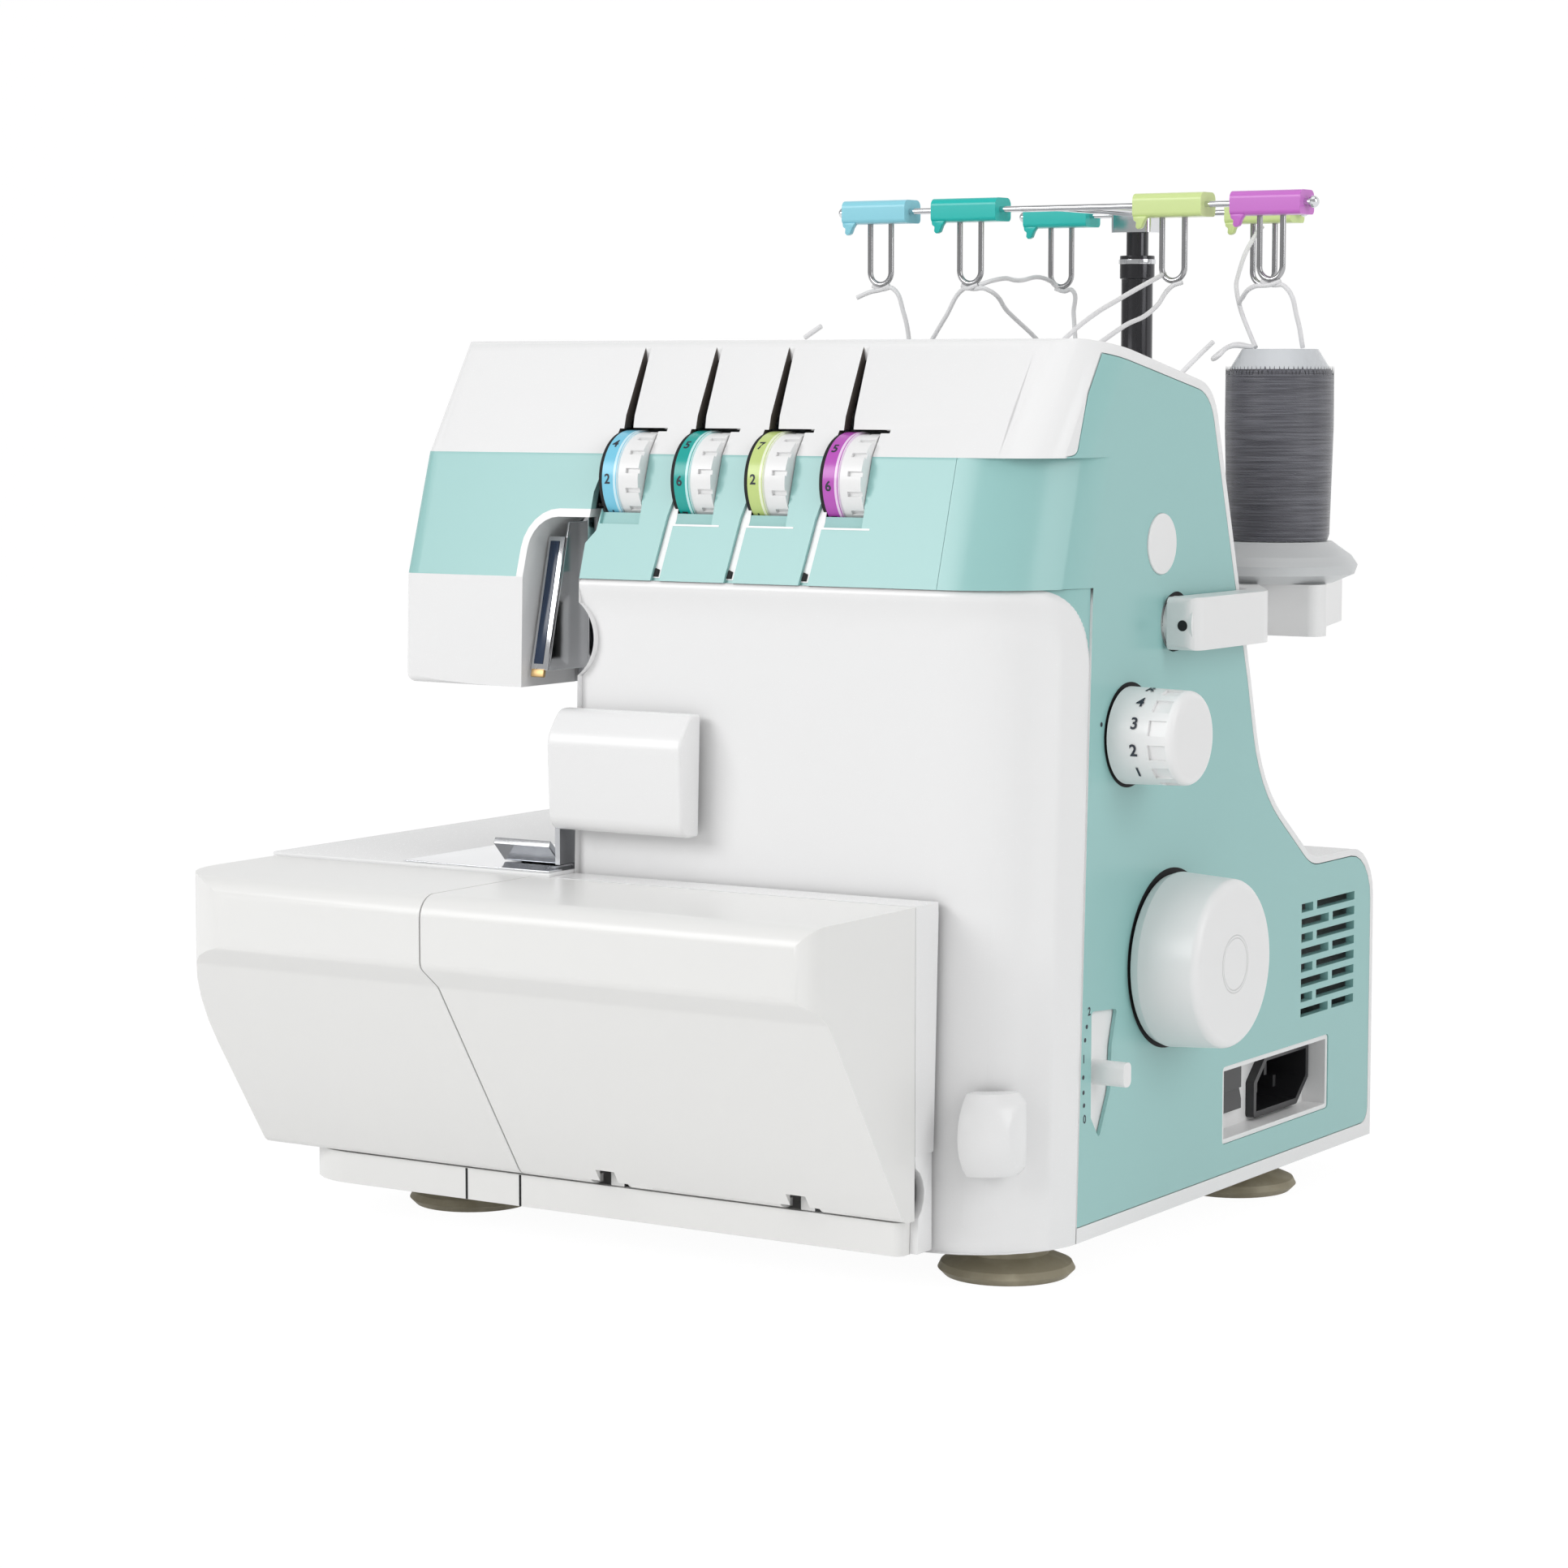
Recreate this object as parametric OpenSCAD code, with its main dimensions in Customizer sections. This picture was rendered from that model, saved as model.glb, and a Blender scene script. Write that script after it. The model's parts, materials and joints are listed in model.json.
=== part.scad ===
// Four-thread serger (overlock) machine with a telescopic thread stand.
// Frame: X to the right, Y to the back, Z up, origin on the floor below the middle of the overall box. The
// numbers below are measured from a datum on the floor midway between the four feet; placed() moves each piece.

/* [Stance] */
// Distance between the left and right feet
foot_span_x = 204; // [190:1:212]
// Distance between the front and rear feet
foot_span_y = 157; // [146:1:166]
// Diameter of a rubber foot
foot_d = 42.4; // [34:0.2:46]
// Height of a foot under the base
foot_h = 12; // [9:0.5:16]

/* [Housing] */
// Right side of the housing
side_x = 127; // [122:1:132]
// Left face of the column
column_x = -37; // [-40:1:-34]
// Left end of the sewing head
head_x = -105.5; // [-112:0.5:-96]
// Thickness of the plastic shells
wall = 2.6; // [2.2:0.1:3]
// Front of the column at its foot
front_y = -114.5; // [-118:0.5:-112]
// How far the front panel leans back over its height
panel_lean = 7; // [5:0.5:9]
// How far the tension band leans back over its height
band_lean = 12; // [10:0.5:14]
// Top edge of the white front panel
panel_z = 211; // [206:1:216]
// Top edge of the tension band
band_z = 250; // [247:1:253]
// Front top edge of the head
head_z = 286.5; // [283:0.5:290]
// Back of the low rear deck
deck_y = 134.5; // [130:0.5:140]
// Top of the low rear deck
deck_z = 113.5; // [111:0.5:118]
// Underside of the sewing head
head_under_z = 180; // [177:1:184]
// Rounding of the column's front right corner
corner_r = 36; // [30:1:38]
// White edging left round the side cover
edging = 2.6; // [1.5:0.1:4]

/* [Bed] */
// Left end of the bed
bed_x = -150; // [-154:0.5:-144]
// Back of the bed
bed_y = 96; // [80:1:110]
// Top of the cloth plate
bed_z = 119; // [118:0.2:120]
// Right end of the looper cover
cover_x = 96; // [88:1:98]
// Seam between the two front covers
seam_x = -44.4; // [-46:0.2:-43]
// Front of the covers
cover_y = -181.5; // [-188:0.5:-170]
// Back edge of the covers
cover_back_y = -124; // [-125:0.2:-123]

/* [Sewing parts] */
// Sideways place of the needles
needle_x = -55; // [-56:0.2:-54]
// Front-to-back place of the needles
needle_y = -77; // [-78:0.2:-76]
// Diameter of the needle bar
needle_bar_d = 7; // [6:0.1:7.4]
// Diameter of the presser bar
presser_bar_d = 8; // [7:0.1:8.4]

/* [Controls] */
// Distance between two tension dials
dial_pitch = 27.2; // [27:0.1:27.8]
// Middle of the first dial's coloured ring
dial_x = -28.9; // [-29.2:0.1:-28]
// Diameter of a tension dial
dial_d = 31; // [27:0.5:32]
// Diameter of the handwheel
wheel_d = 55; // [48:0.5:60]
// Length of the handwheel
wheel_len = 23; // [18:0.5:26]
// Diameter of the main shaft
shaft_d = 12; // [10:0.5:14]
// Diameter of the stitch-length dial
length_dial_d = 30; // [26:0.5:33]
// Length of the stitch-length dial
length_dial_len = 22; // [16:0.5:24]

/* [Drive] */
// Diameter of the driven pulley
pulley_d = 60; // [54:1:62]
// Diameter of the motor pulley
motor_pulley_d = 18; // [14:0.5:22]
// Diameter of the motor
motor_d = 52; // [46:0.5:54]
// Length of the motor
motor_len = 60; // [50:1:62]

/* [Thread stand] */
// Middle of the thread stand
stand_x = 40; // [38:0.5:42]
// Offset of the outer spools from the middle
outer_spool = 75; // [72:0.5:76]
// Offset of the inner spools from the middle
inner_spool = 40; // [38:0.5:44]
// Front-to-back place of the outer spools
outer_spool_y = 80.2; // [78:0.2:82]
// Front-to-back place of the inner spools
inner_spool_y = 139.5; // [138:0.5:142]
// Diameter of a full spool
spool_d = 38; // [28:1:40]
// Height of a wound spool
spool_h = 63; // [50:1:66]
// Top of the spool tray
tray_z = 206; // [204:0.5:208]
// Height of the thread guide wires
guide_z = 331; // [328:0.5:340]
// Diameter of the mast's lower tube
mast_d = 11; // [10:0.2:13]

/* [Hidden] */
$fn = 48;

gap = 0.3;               // clearance between neighbours that move or don't seat on each other
run = 0.05;              // radial clearance of a running fit
white = [0.93, 0.93, 0.93];
teal = [0.62, 0.80, 0.78];
steel = [0.75, 0.76, 0.78];
dark = [0.12, 0.12, 0.13];

z0 = foot_h;                                  // underside of the base
panel_top_y = front_y + panel_lean;
band_top_y = panel_top_y + band_lean;
top_y = band_top_y + 25.5;                    // front top edge of the head
side_y = -72;                                 // parting line between the front pieces and the side
part_foot_y = -79.6;                          // the same line at the foot of the front panel
neck_z = 176;                                 // where the back of the column turns to the deck
neck_y = 36.5;
back_top = [7.7, 271.2];                      // rear top edge of the head
recess_x = -59;                               // needle recess in the head
recess_y = -66;
recess_z = 230;
band_seam_x = 93;                             // seam of the band with the side cover
floor_z = z0 + 3.2;                           // inside of the base

// ---- outlines ------------------------------------------------------------------------------------
function unit(v) = v / norm(v);
function turn_of(a, b) = a.x * b.y - a.y * b.x;

// A corner of an outline, as an arc of n steps that touches both of its edges
function arc_corner(p0, p1, p2, r, n) =
    let (a = unit(p0 - p1), b = unit(p2 - p1), half = acos(a * b) / 2,
         c = p1 + unit(a + b) * r / sin(half), d = r / tan(half),
         from = p1 + a * d - c, to = p1 + b * d - c,
         start = atan2(from.y, from.x), span = (atan2(to.y, to.x) - start + 540) % 360 - 180)
    [for (i = [0:n]) c + r * [cos(start + span * i / n), sin(start + span * i / n)]];

function flat(p) = [p.x, p.y];

// Outline with its corners rounded; each point is [x, y, radius]
function rounded(pts, n = 6) = let (k = len(pts)) [for (i = [0:k - 1])
    each pts[i][2] <= 0 ? [flat(pts[i])]
        : arc_corner(flat(pts[(i + k - 1) % k]), flat(pts[i]), flat(pts[(i + 1) % k]), pts[i][2], n)];

// The same outline moved inwards by t; the points run counter-clockwise
function inset(pts, t) = let (k = len(pts)) [for (i = [0:k - 1])
    let (p = flat(pts[i]), u = unit(p - flat(pts[(i + k - 1) % k])), v = unit(flat(pts[(i + 1) % k]) - p),
         m = [-u.y, u.x], n = [-v.y, v.x], q = p + t * (m + n) / (1 + m * n), r = pts[i][2])
    [q.x, q.y, r <= 0 ? 0 : turn_of(u, v) > 0 ? max(r - t, 0.2) : r + t]];

function box_outline(x0, y0, x1, y1, r) = [[x0, y0, r], [x1, y0, r], [x1, y1, r], [x0, y1, r]];

// ---- solids from outlines ------------------------------------------------------------------------
module along_x(x0, x1, pts, n = 6)
    translate([x0, 0, 0]) rotate([90, 0, 90]) linear_extrude(x1 - x0) polygon(rounded(pts, n));

module along_y(y0, y1, pts, n = 6)
    translate([0, y1, 0]) rotate([90, 0, 0]) linear_extrude(y1 - y0) polygon(rounded(pts, n));

module along_z(za, zb, pts, n = 6)
    translate([0, 0, za]) linear_extrude(zb - za) polygon(rounded(pts, n));

module block(x0, x1, y0, y1, za, zb) translate([x0, y0, za]) cube([x1 - x0, y1 - y0, zb - za]);

module rod_x(x0, x1, y, z, r) translate([x0, y, z]) rotate([0, 90, 0]) cylinder(h = x1 - x0, r = r);

module rod_y(y0, y1, x, z, r) translate([x, y1, z]) rotate([90, 0, 0]) cylinder(h = y1 - y0, r = r);

module rod_z(za, zb, x, y, r) translate([x, y, za]) cylinder(h = zb - za, r = r);

// ---- the housing as one form, from which the shells are cut ---------------------------------------
// Side view of the column and head, as [y, z, radius]
function profile(foot) = [
    [front_y, foot, 0],
    [deck_y, foot, 0],
    [deck_y, deck_z, 18],
    [85, deck_z, 18],
    [46, 141, 52],
    [neck_y, neck_z, 20],
    [back_top.x, back_top.y, 16],
    [top_y, head_z, 8],
    [band_top_y, band_z, 6],
    [panel_top_y, panel_z, 4]];

function plan(g, r) = [[head_x + g, g, 5], [side_x - g, g, max(r - g, 0.5)], [side_x - g, 400, 0],
    [head_x + g, 400, 0]];

// One storey of the housing: an upright prism that leans with the front face
module storey(g, za, ya, zb, yb, r, low, high) intersection() {
    block(-300, 300, -300, 300, low, high);
    translate([0, ya, za]) rotate([-atan2(yb - ya, zb - za), 0, 0])
        translate([0, 0, -60]) linear_extrude(norm([yb - ya, zb - za]) + 200) polygon(rounded(plan(g, r), 8));
}

module housing_form(g) difference() {
    intersection() {
        along_x(head_x + g, side_x - g, inset(profile(g > 0 ? z0 - 10 : z0), g));
        union() {
            storey(g, z0, front_y, panel_z, panel_top_y, corner_r, z0 - 12, panel_z);
            storey(g, panel_z, panel_top_y, band_z, band_top_y, corner_r - 3, panel_z, band_z);
            storey(g, band_z, band_top_y, head_z, top_y, 20, band_z, 300);
        }
    }
    block(-300, column_x + g, -300, 300, -10, head_under_z + g);
    along_y(-300, recess_y + g, [[recess_x - g, 100, 0], [column_x + g, 100, 0], [column_x + g, recess_z + g, 0],
        [recess_x - g, recess_z + g, 10 + g]]);
}

module housing_shell() difference() {
    housing_form(0);
    housing_form(wall);
}

// Opening in the front of the head for the dial with index i
function dial_mid(i) = dial_x + dial_pitch * i;
dial_y = band_top_y + 8.5;
dial_z = band_z - 8.2;
dial_r = dial_d / 2;
ring_w = 5.4;
knurl_w = 7.8;
dial_gap = 0.8;                               // room round a dial in its window
slit_z = band_z + 7;                          // top of the dial windows

// Window for each dial, with the slanted slot that leads its thread in from above
module dial_openings() for (i = [0:3]) translate([dial_mid(i), 0, 0]) {
    rod_x(-ring_w / 2 - 1.6, ring_w / 2 + knurl_w + gap, dial_y, dial_z, dial_r + dial_gap);
    along_y(-300, top_y - 2, [[-2.6, band_z, 0], [0.9, band_z, 0], [0.9, slit_z, 0], [-4.2, slit_z + 25, 0],
        [-4.9, head_z + 2, 0], [-7.4, head_z + 2, 0], [-6.4, slit_z + 25, 0], [-2.6, slit_z, 0]]);
    block(0, 13.9, -300, dial_y, slit_z, slit_z + 1.1);
}

// Shallow sloping step under each window, and the thread groove that runs down from it
module band_reliefs() {
    for (i = [0:3]) translate([dial_mid(i), 0, 0])
        along_x(-ring_w / 2 - 1.2, ring_w / 2 + knurl_w + 0.5, [[-112, 228.2, 0], [-101.2, 228.2, 0], [-98.6, 234.6, 0],
            [-112, 234.6, 0]]);
    for (i = [1:3]) translate([dial_mid(i), band_top_y, band_z]) rotate([-atan2(band_lean, band_z - panel_z), 0, 0])
        along_y(-3, 1.3, [[-8.8, -45, 0], [-5.5, -45, 0], [-2.9, -20.5, 0], [-3, -8, 0], [-6, -20, 0]]);
    // gap between the left head and the first dial, down into the needle recess
    along_y(-300, recess_y, [[column_x, 222, 0], [column_x + 3.4, 226, 0], [column_x + 5, 240, 0],
        [column_x + 5, 249, 0], [column_x + 3, 249, 0], [column_x, 238, 0]]);
}

// ---- housing ---------------------------------------------------------------------------------------
base_front = -127;
base_x = -140;
base_in = wall + gap;                         // the base stands this far inside the outer faces
base_step_x = cover_x - 3;                    // right of here the front panel reaches down past the base
base_pts = [[base_x, base_front, 22], [base_step_x, base_front, 3], [base_step_x, front_y + base_in, 0],
    [side_x - base_in, front_y + base_in, corner_r - base_in], [side_x - base_in, deck_y - base_in, 8],
    [column_x, deck_y - base_in, 4], [column_x, bed_y, 0], [base_x, bed_y, 12]];
strip_z = 22.8;                               // top of the strip below the front covers

module base_room() along_z(0, floor_z, base_pts);

module base_plate() color([0.88, 0.88, 0.88]) {
    difference() {
        along_z(z0 + 0.6, floor_z, base_pts);
        for (x = [-1, 1], y = [-1, 1]) rod_z(0, 40, x * foot_span_x / 2, y * foot_span_y / 2, foot_stud_r);
    }
    difference() {
        along_z(floor_z, strip_z, base_pts);
        along_z(floor_z - 1, strip_z + 1, inset(base_pts, wall));
        block(column_x - gap, 300, front_y - 1, 300, 0, 100);
    }
}

foot_stud_r = 4;
module rubber_feet() color([0.66, 0.66, 0.60]) for (x = [-1, 1], y = [-1, 1])
    translate([x * foot_span_x / 2, y * foot_span_y / 2, 0]) rotate_extrude()
        polygon([[0, 2], [foot_d / 2 - 7, 0], [foot_d / 2 - 2, 0], [foot_d / 2, 2], [foot_d / 2 - 1, 4],
            [foot_d / 2 - 8, 7], [foot_d / 2 - 10, z0 + 0.6], [foot_stud_r, z0 + 0.6], [foot_stud_r, floor_z - 0.1],
            [0, floor_z - 0.1]]);

bump = [108, 49, 12.5];                       // place and half height of the finger stop on the front
module front_panel() color(white) {
    difference() {
        intersection() {
            housing_shell();
            along_x(column_x, side_x + 1, [[-300, z0, 0], [part_foot_y, z0, 0], [side_y, panel_z, 0], [-300, panel_z, 0]]);
        }
        base_room();
        // bite in the panel's edge beside the needle-area plate
        translate([column_x - 8, 0, 192]) rotate([90, 0, 0]) cylinder(h = 200, r = 14);
        rod_x(-60, 0, cutter_shaft.x, cutter_shaft.y, cutter_shaft_r + 1);
    }
    intersection() {
        translate([bump.x, front_y + 12, bump.y]) sphere(r = bump.z + 4.5);
        block(bump.x, bump.x + 14, front_y - 6, front_y + 12, bump.y - bump.z, bump.y + bump.z);
    }
    block(column_x, cover_x, cover_back_y + gap, front_y + 4, bed_z - plate_t, bed_z - 1);
    block(cover_x - 3, cover_x, cover_back_y + gap, front_y + 6, strip_z + 20, bed_z - plate_t);
}

module head_band() color(teal) difference() {
    intersection() {
        housing_shell();
        block(head_x - 1, band_seam_x, -300, side_y, panel_z, band_z);
    }
    recess_frame();
    dial_openings();
    band_reliefs();
}

module head_top_cover() color(white) difference() {
    intersection() {
        housing_shell();
        block(head_x - 1, side_x + 1, -300, 300, band_z, 300);
    }
    side_cover_form(gap);
    dial_openings();
}

module recess_frame(right = column_x)
    along_y(-300, recess_y + wall, [[recess_x - wall, head_under_z - 1, 0], [right, head_under_z - 1, 0],
        [right, recess_z + wall, 0], [recess_x - wall, recess_z + wall, 10 + wall]]);

function parting_y(z) = part_foot_y + (side_y - part_foot_y) * (z - z0) / (panel_z - z0);
module face_cover() color(white) difference() {
    intersection() {
        housing_shell();
        union() {
            along_x(head_x - 1, column_x - 0.02, [[-300, head_under_z - 1, 0], [parting_y(head_under_z - 1), head_under_z - 1, 0],
                [side_y, panel_z, 0], [-300, panel_z, 0]]);
            recess_frame(column_x - 0.02);
        }
    }
    bar_holes(1);
}

module bar_holes(g) {
    rod_z(100, 300, needle_x, needle_y, needle_bar_d / 2 + g);
    rod_z(100, 300, needle_x, presser_y, presser_bar_d / 2 + g);
}

module rear_housing() color(white) difference() {
    intersection() {
        housing_shell();
        along_x(head_x - 1, side_x + 1, [[part_foot_y, z0, 0], [300, z0, 0], [300, band_z, 0], [side_y, band_z, 0],
            [side_y, panel_z, 0]]);
    }
    side_cover_form(gap);
    base_room();
    recess_frame();
    bar_holes(1);
    block(lifter_x - 7, lifter_x + 7, 10, 60, lifter_z - 8, lifter_z + 27);
    rod_x(side_x - 20, side_x + 5, wheel_y, wheel_z, shaft_d / 2 + 4);
    block(side_x - 12, side_x + 1, side_y - 1, side_y + 8, panel_z, band_z + 1);
}

// Teal cover: the side plate, and the part that wraps round the front corner above the panel
side_pts = [[part_foot_y + 0.2, z0 + 5, 0], [deck_y - edging, z0 + 5, 5], [deck_y - edging, deck_z - edging, 16],
    [84, deck_z - edging, 20], [46 - edging, 140, 54], [neck_y - edging, neck_z, 20], [back_top.x - edging, back_top.y - edging, 14],
    [side_y + 6, head_z - 4.6, 3], [side_y + 1, 268, 10], [side_y - 8, band_z + 0.5, 4], [side_y - 22, band_z, 0],
    [side_y - 22, panel_z + 0.2, 0], [side_y, panel_z, 0]];
side_t = 3;

module side_cover_form(g) {
    along_x(side_x - side_t - g, side_x + 5, inset(side_pts, -g));
}

module side_cover() color(teal) difference() {
    union() {
        intersection() {
            housing_form(0);
            along_x(side_x - side_t, side_x + 1, side_pts);
        }
        intersection() {
            housing_shell();
            block(band_seam_x + gap / 2, side_x - side_t, -300, side_y, panel_z, band_z);
        }
    }
    rod_x(0, 200, wheel_y, wheel_z, shaft_d / 2 + 3);
    rod_x(0, 200, length_y, length_z, 5);
    rod_x(0, 200, arm_y, arm_z, arm_r + 1);
    rod_x(0, 200, plug_y, plug_z, plug_r + 0.1);
    along_x(0, 200, [[-71.2, 49.5, 2], [-65.8, 42.3, 1], [-58.8, 56, 6], [-58, 70, 8], [-54.6, 81, 1], [-71.2, 82.2, 1.5]]);
    intersection() {
        rod_x(side_x - side_t - 1, side_x - 1.2, lever_y, lever_z, lever_out + 1);
        block(100, 200, lever_y - lever_out - 1, lever_y - 7, lever_z - 43.5, lever_z + 43.5);
    }
    along_x(0, 200, inlet_pts);
    for (row = [0:7]) {
        half = row % 2 == 0 ? 24.5 : 12;
        block(0, 200, vent_y, vent_y + half - 3, vent_z + row * vent_row, vent_z + row * vent_row + 2.9);
        block(0, 200, vent_y + half, vent_y + 42, vent_z + row * vent_row, vent_z + row * vent_row + 2.9);
    }
}

vent_y = 77;
vent_z = 60.5;
vent_row = 5.05;

// ---- bed and covers --------------------------------------------------------------------------------
plate_t = 4;
bed_front = cover_back_y + gap;
bed_right = column_x - gap;
looper_room = [-100, -41, -62];               // left, right and back of the room for the loopers

module bed_housing() color(white) difference() {
    along_z(strip_z, bed_z - plate_t, [[base_x, bed_front, 19], [bed_right, bed_front, 0], [bed_right, bed_y, 0],
        [base_x, bed_y, 12]]);
    along_z(strip_z - 1, bed_z - plate_t - wall, [[base_x + wall, bed_front - 9, 0], [bed_right + 1, bed_front - 9, 0],
        [bed_right + 1, bed_y - wall, 0], [base_x + wall, bed_y - wall, 12 - wall]]);
    block(looper_room[0], looper_room[1] + 10, bed_front - 5, looper_room[2], strip_z - 1, bed_z);
}

module cloth_plate() color(white) difference() {
    along_z(bed_z - plate_t, bed_z, [[bed_x, bed_front, 2], [bed_right, bed_front, 0], [bed_right, bed_y + 3, 0],
        [bed_x, bed_y + 3, 16]]);
    block(plate_x0 - 0.1, plate_x1 + 0.1, plate_y0 - 0.1, plate_y1 + 0.1, 0, 200);
}

plate_x0 = -97;
plate_x1 = -39.5;
plate_y0 = -121;
plate_y1 = -62;
plate_z = 1.6;
needle_slot = [needle_x - 7, needle_x + 5, needle_y - 3, needle_y + 3];
module feed_slots(g) for (x = [-69, -61, -48]) block(x - 1.6 - g, x + 1.6 + g, -98 - g, -85 + g, 100, 200);

module needle_plate() color(steel) difference() {
    block(plate_x0, plate_x1, plate_y0, plate_y1, bed_z - plate_t, bed_z + 0.4);
    block(plate_x0 + 4, plate_x1 - 4, plate_y0 + 4, plate_y1 - 4, bed_z - plate_t - 1, bed_z + 0.4 - plate_z);
    block(needle_slot[0], needle_slot[1], needle_slot[2], needle_slot[3], 0, 200);
    feed_slots(2.3);
    block(cutter_x - 1.6, plate_x1 + 1, cutter_y0 - 1, cutter_y1 + 1, 0, 200);
}

// Cross-section shared by both front covers, as [y, z, radius], reaching back to the given y
cover_top_z = bed_z - 1.2;
cover_under_z = z0 + 11.5;
function cover_pts(back) = [[back, cover_top_z, 0], [cover_y, cover_top_z, 7], [cover_y, cover_top_z - 22, 4],
    [cover_y + 9, cover_top_z - 29, 6], [base_front - 3, cover_under_z, 5], [back, cover_under_z, 0]];
cover_left_x = -148;

// Solid between two side faces, with its front corners rounded in plan
module cover_form(x0, x1, back, g, left_r, right_r) intersection() {
    along_x(x0, x1, inset(cover_pts(back), g));
    along_z(0, 200, [[x0, cover_y + g, left_r], [x1, cover_y + g, right_r], [x1, 50, 0], [x0, 50, 0]], 8);
}

module looper_cover() color(white) {
    looper_cover_shell();
    for (x = hinge_x) difference() {
        block(x + 8, x + 16, hinge_y - 3.6, hinge_y + 2.8, cover_under_z + 1, hinge_z + 4);
        rod_x(-100, 100, hinge_y, hinge_z, hinge_r + run);
    }
}

module looper_cover_shell() difference() {
    cover_form(seam_x + gap, cover_x, cover_back_y, 0, 0, 8);
    cover_form(seam_x - 9, cover_x - wall, cover_back_y + 30, wall, 0, 8 - wall);
    for (x = hinge_x) {
        block(x - 7, x + 7, hinge_y - 4, 0, 0, hinge_z + 4);
        block(x - 3.5, x + 3.5, hinge_y - 12, 0, 0, hinge_z - 2);
    }
}

module cloth_plate_cover() color(white) difference() {
    cover_form(cover_left_x, seam_x - gap, cover_back_y, 0, 28, 0);
    cover_form(cover_left_x + wall, seam_x + 9, cover_back_y + 30, wall, 28 - wall, 0);
}

hinge_x = [-10, 60];
hinge_y = base_front;
hinge_z = z0 + 19;
hinge_r = 2;

// Rod on which the looper cover swings, with the two slides that carry it on the base
module cover_hinge_rod() color(steel) {
    rod_x(seam_x + 4, cover_x - 4, hinge_y, hinge_z, hinge_r);
    for (x = hinge_x) block(x - 2.5, x + 2.5, hinge_y + 0.6, hinge_y + 2.6, strip_z + gap, hinge_z + 1);
}

// ---- sewing mechanism --------------------------------------------------------------------------------
presser_y = -50;
module needle_area_plate() color(steel) difference() {
    along_y(-104, -82, [[recess_x, head_under_z + 1, 0], [-51.5, head_under_z + 1, 0], [-51.5, recess_z - 2, 0],
        [recess_x, recess_z - 2, 0]]);
    block(recess_x - 1, -52.3, -102.8, -79, 0, 300);
    translate([0, -104, head_under_z]) rotate([-14, 0, 0]) block(-60, -50, -40, 0, -20, 90);
}

module cast_frame() color([0.55, 0.56, 0.57]) difference() {
    union() {
        block(-20, 112, -92, 28, floor_z, floor_z + 5);
        for (x = [0, 100]) block(x, x + 8, -60, 22, floor_z + 5, 160);
        block(0, 108, -60, -54, 150, 160);
        for (x = [15, 75]) block(x, x + 10, 28, 118, floor_z, floor_z + 5);
        block(100, 108, -92, -60, floor_z + 5, 60);
    }
    for (x = [0, 100]) rod_x(x - 1, x + 9, wheel_y, wheel_z, bush_r + run);
}

wheel_y = -21.7;
wheel_z = 92.6;
bush_r = 10;
module shaft_bushes() color([0.70, 0.55, 0.30]) for (x = [0, 100]) difference() {
    rod_x(x - 1, x + 9, wheel_y, wheel_z, bush_r);
    rod_x(x - 2, x + 10, wheel_y, wheel_z, shaft_d / 2 + run);
}

module main_shaft() color(steel) rod_x(-12, side_x + wheel_len - 3, wheel_y, wheel_z, shaft_d / 2);

module handwheel() color(white) difference() {
    translate([side_x + 1, wheel_y, wheel_z]) rotate([0, 90, 0]) rotate_extrude()
        polygon(concat([[0, 0]], rounded([[wheel_d / 2 - 1, 0, 0], [wheel_d / 2, 3, 1], [wheel_d / 2 - 1.2, wheel_len, 3],
            [0, wheel_len, 0]], 5)));
    rod_x(0, side_x + wheel_len - 2.9, wheel_y, wheel_z, shaft_d / 2 + 0.02);
}

pulley_x = 84;
pulley_w = 9;
module driven_pulley() color([0.2, 0.2, 0.2]) difference() {
    union() {
        rod_x(pulley_x, pulley_x + pulley_w, wheel_y, wheel_z, pulley_d / 2 - 2);
        for (x = [pulley_x - 1, pulley_x + pulley_w]) rod_x(x, x + 1, wheel_y, wheel_z, pulley_d / 2);
    }
    rod_x(0, 200, wheel_y, wheel_z, shaft_d / 2 + 0.02);
}

motor_y = 84;
motor_z = 60;
motor_x = 16;
belt_t = 1.6;
module belt_loop(grow) hull() {
    translate([wheel_y, wheel_z]) circle(pulley_d / 2 - 2 + gap + grow, $fn = 48);
    translate([motor_y, motor_z]) circle(motor_pulley_d / 2 - 1.5 + gap + grow, $fn = 32);
}

module drive_belt() color(dark) translate([pulley_x + gap, 0, 0]) rotate([90, 0, 90])
    linear_extrude(pulley_w - 2 * gap) difference() {
        belt_loop(belt_t);
        belt_loop(0);
    }

motor_end = motor_x + motor_len;
module motor() color([0.35, 0.36, 0.38]) difference() {
    union() {
        rod_x(motor_x, motor_end, motor_y, motor_z, motor_d / 2);
        for (x = [15, 75]) block(max(x, motor_x), min(x + 10, motor_end), motor_y - 18, motor_y + 18, floor_z + 5, motor_z);
        rod_x(motor_end, motor_end + 3, motor_y, motor_z, 9);
    }
    rod_x(motor_end - 30, motor_end + 4, motor_y, motor_z, 3 + run);
}

module motor_pulley() color(steel) {
    rod_x(motor_end - 29, pulley_x + pulley_w + 1, motor_y, motor_z, 3);
    rod_x(pulley_x - 1, pulley_x, motor_y, motor_z, motor_pulley_d / 2);
    rod_x(pulley_x, pulley_x + pulley_w, motor_y, motor_z, motor_pulley_d / 2 - 1.5);
    rod_x(pulley_x + pulley_w, pulley_x + pulley_w + 1, motor_y, motor_z, motor_pulley_d / 2);
}

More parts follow.
